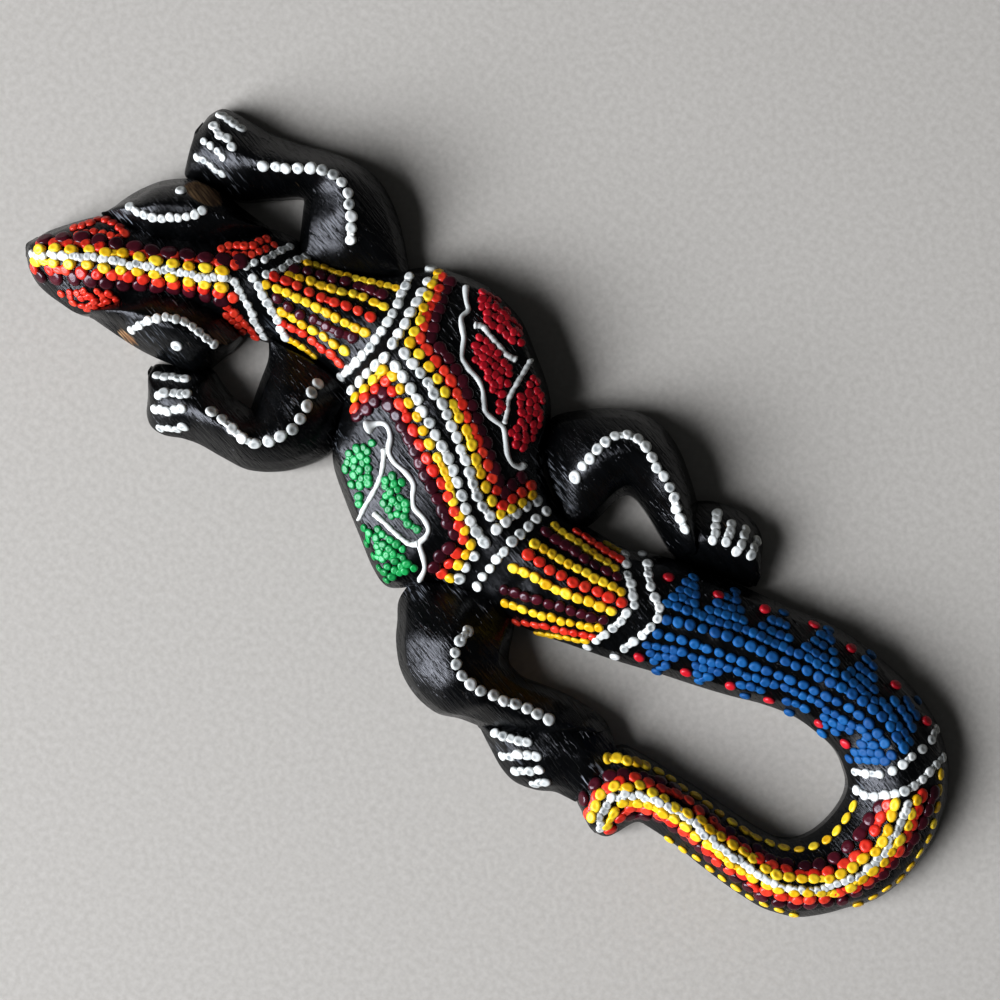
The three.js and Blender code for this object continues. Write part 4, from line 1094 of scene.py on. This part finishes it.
# The triangles' corners: two ends of the base, then the apex.
OUTER_TRIANGLES = [((46, 5.9), (52.9, 7.9), (47.2, 14)), ((54.3, 8.1), (64.5, 11.4), (56.9, 17.2)),
                   ((66.1, 12), (75.9, 13.6), (69.2, 19.7)), ((78.1, 14.4), (87.4, 15.5), (80.3, 22.9)),
                   ((89.9, 16.2), (98.6, 15.7), (91.9, 24.2)), ((100.5, 16.6), (110.9, 13), (107, 21.9))]
INNER_TRIANGLES = [((47.9, -4.7), (55.6, -1.4), (53.3, -8.7)), ((58.6, -0.8), (66.2, 2.2), (62.7, -4.7)),
                   ((68.9, 2.4), (77.7, 5.1), (73.4, -1.2)), ((80.1, 6), (88.7, 7.9), (84.2, 1.8)),
                   ((91.1, 7.6), (100.1, 8.5), (93.5, 2.7)), ((109.2, 5.8), (102.1, 1.2), (102.4, 7.9))]


def paint_blue_tail():
    beads("tail_blue_rows", "blue", [
        row(TAIL_UPPER, 2.55, count=23, stretch=1.1, joined=0.15),
        row(TAIL_LOWER, 2.5, count=22, stretch=1.1, joined=0.2),
    ], ["tail_blue_row_outer", "tail_blue_row_inner"])
    beads("tail_blue_triangles", "blue",
          [triangle(*corners) for corners in OUTER_TRIANGLES + INNER_TRIANGLES])
    places = [(42.6, 10.8), (54.6, 14.3), (65.3, 18), (76.8, 21.8), (87.1, 22.5), (100.6, 21.7),
              (111.4, 19.1),
              (48, -8.3), (59, -4.7), (69.3, -1.1), (78.6, 1.5), (91.4, 4), (99.2, 3.7)]
    beads("tail_crimson_dots", "crimson", [np.array([(x, y, 2.4, 1.2, 0.96, 0.28, 0.1) for x, y in places])])


# The tail's end: a white middle line from the last cross band round to the tip, and on either side a row of
# yellow, red and maroon. The outer bend is steeper than the inner one, so its rows lie closer together.
TAIL_END = {
    "white": [([(119.2, 1.2), (120.9, -6.4), (121.4, -13.4), (118.7, -21.6), (113.6, -27.9), (109.3, -31),
                (102.6, -33.1), (98.3, -33.3), (87.1, -33.2), (78, -32.4), (69, -33.8), (63.6, -37.1),
                (62.3, -43),
                (64.6, -46.4)], 58)],
    "yellow": [([(117.1, -0.8), (119.5, -7.8), (119.6, -13.6), (115.9, -22.5), (110.9, -27.3),
                 (104.5, -30.4),
                 (97.1, -31.4), (86.9, -31.6), (77.1, -31.7), (67.7, -32.6), (62.7, -34.9), (59.9, -39.7),
                 (61.2, -45.5)], 30),
               ([(119.9, 2.6), (122.1, -5.5), (122.3, -13.6), (119.9, -22.7), (115.3, -28.1), (107.9, -32.6),
                 (100, -34.6), (87.4, -34.6), (78.2, -34), (70.2, -35), (64.7, -39), (65.1, -44.8)], 29)],
    "red": [([(115.7, -2.2), (117, -10.9), (115.8, -18.3), (111.6, -25.2), (102.9, -29.6), (92.3, -30.7),
              (80.7, -29.5), (71.8, -30), (63.2, -32.5), (59.9, -37.5), (59.6, -44.8)], 26),
            ([(120.8, 4.4), (123, -3.7), (123.6, -11.8), (122.1, -19.2), (117.4, -27.2), (110.6, -32.9),
              (100.9, -35.9), (89.5, -36), (80.6, -35), (71.7, -36), (67, -38.6), (66.3, -45)], 28)],
    "maroon": [([(114.3, -3.6), (114.4, -11.9), (113.7, -17.8), (110, -24.2), (104.1, -27.7), (95, -29.2),
                 (82, -29), (71, -28.7), (62.9, -31.8), (58, -36.3), (57.1, -42.9)], 22),
               ([(122.4, 6.4), (124.6, -1.7), (125.1, -9), (123.4, -18.6), (118.8, -27.6), (111.8, -33.8),
                 (101.8, -36.9), (91, -36.7), (82, -35.9), (73.2, -36.4), (68, -40.4)], 25)],
}
# Width, stretch, lift and share of joined neighbours of a bead on the tail's end.
TAIL_END_BEAD = {"white": (2.2, 1.1, 0.35, 0.85), "yellow": (2.5, 1.25, 0.4, 0.25),
                 "red": (2.8, 1.2, 0.2, 0.4),
                 "maroon": (3.3, 1.1, 0.05, 0.4)}
INNER_OVALS = [(109.3, -7), (109.8, -11), (109.2, -16.2), (106, -21.9), (100.3, -25.1), (92.6, -27),
               (80.5, -27),
               (71, -27.2), (64.1, -28.3), (58.5, -30.3), (56.2, -32)]
OUTER_OVALS = [(121.6, 11), (125.1, 4.6), (127.7, -1.7), (128.4, -8.3), (127.9, -15), (124.6, -23.5),
               (118, -32.6),
               (111.4, -36.6), (103.3, -38.4), (94.6, -38.9), (79, -38.8)]


def paint_tail_end():
    rows = {}
    for colour, runs in TAIL_END.items():
        width, stretch, lift, joined = TAIL_END_BEAD[colour]
        rows[colour] = [row(run, width, count=count, stretch=stretch, lift=lift, wander=0.25, joined=joined)
                        for run, count in runs]
    rows["yellow"] += [row(INNER_OVALS[:-2], 2.0, count=18, stretch=1.4, joined=0.1),
                       row(INNER_OVALS[-3:], 2.8, count=5, stretch=1.1, joined=0.8),
                       row(OUTER_OVALS, 1.9, count=24, stretch=1.45)]
    rows["white"] += [
        row([(114.4, 19), (114.8, 14.3), (113.7, 11.6), (113.2, 8.3), (111.9, 5.2), (107.6, 0.7),
             (104.9, -0.3)], 2.4,
            count=9, joined=0.5),
        row([(119.6, 14.6), (118.9, 9), (117.7, 4.1), (115.4, 0.8), (113.4, -0.7), (111.5, -2.9),
             (107.7, -3.8)], 2.5,
            count=11, joined=0.6),
    ]
    for colour, groups in rows.items():
        beads(f"tail_end_{colour}_beads", colour, groups)


paint_head()
paint_eyes()
paint_legs()
paint_toes()
paint_neck()
paint_trunk_borders()
paint_panels()
paint_hip()
paint_blue_tail()
paint_tail_end()


# ---------------------------------------------------------------- floor, light and camera

def view_direction(right, up, out):
    """A direction given as right, up and out of the picture, in the frame."""
    c, s = math.cos(VIEW_TURN), math.sin(VIEW_TURN)
    return Vector((right * c - up * s, right * s + up * c, out))


def add_floor():
    size = 3.0
    mesh = bpy.data.meshes.new("floor")
    mesh.from_pydata([(-size, -size, 0), (size, -size, 0), (size, size, 0), (-size, size, 0)], [],
                     [(0, 1, 2, 3)])
    mesh.materials.append(plain_board())
    floor = bpy.data.objects.new("floor", mesh)
    floor.location.z = -0.0001
    bpy.context.scene.collection.objects.link(floor)


def add_area_light(name, right, up, out, width, height, watts, colour):
    """A soft rectangular light that faces the figure from a direction in the picture."""
    data = bpy.data.lights.new(name, "AREA")
    data.shape = "RECTANGLE"
    data.size, data.size_y = width, height
    data.energy = watts
    data.color = linear(colour)[:3]
    light = bpy.data.objects.new(name, data)
    light.location = view_direction(right, up, out)
    light.rotation_euler = (-light.location).to_track_quat("-Z", "Y").to_euler()
    bpy.context.scene.collection.objects.link(light)


def add_world():
    world = bpy.data.worlds.new("soft_room")
    world.use_nodes = True
    background = world.node_tree.nodes["Background"]
    background.inputs["Color"].default_value = linear("dfe3ea")
    background.inputs["Strength"].default_value = 0.07
    bpy.context.scene.world = world
    bpy.context.scene.view_settings.view_transform = "Standard"
    bpy.context.scene.view_settings.gamma = 0.8


def add_camera():
    data = bpy.data.cameras.new("camera")
    data.lens = LENS
    data.sensor_width = SENSOR
    data.clip_start = 0.01
    camera = bpy.data.objects.new("camera", data)
    camera.location = EYE
    camera.rotation_euler = (0, 0, VIEW_TURN)
    bpy.context.scene.collection.objects.link(camera)
    bpy.context.scene.camera = camera


add_floor()
add_area_light("window_left", -2.11, -0.79, 1.41, 2, 2, 190, "eff3ff")
add_world()
add_camera()
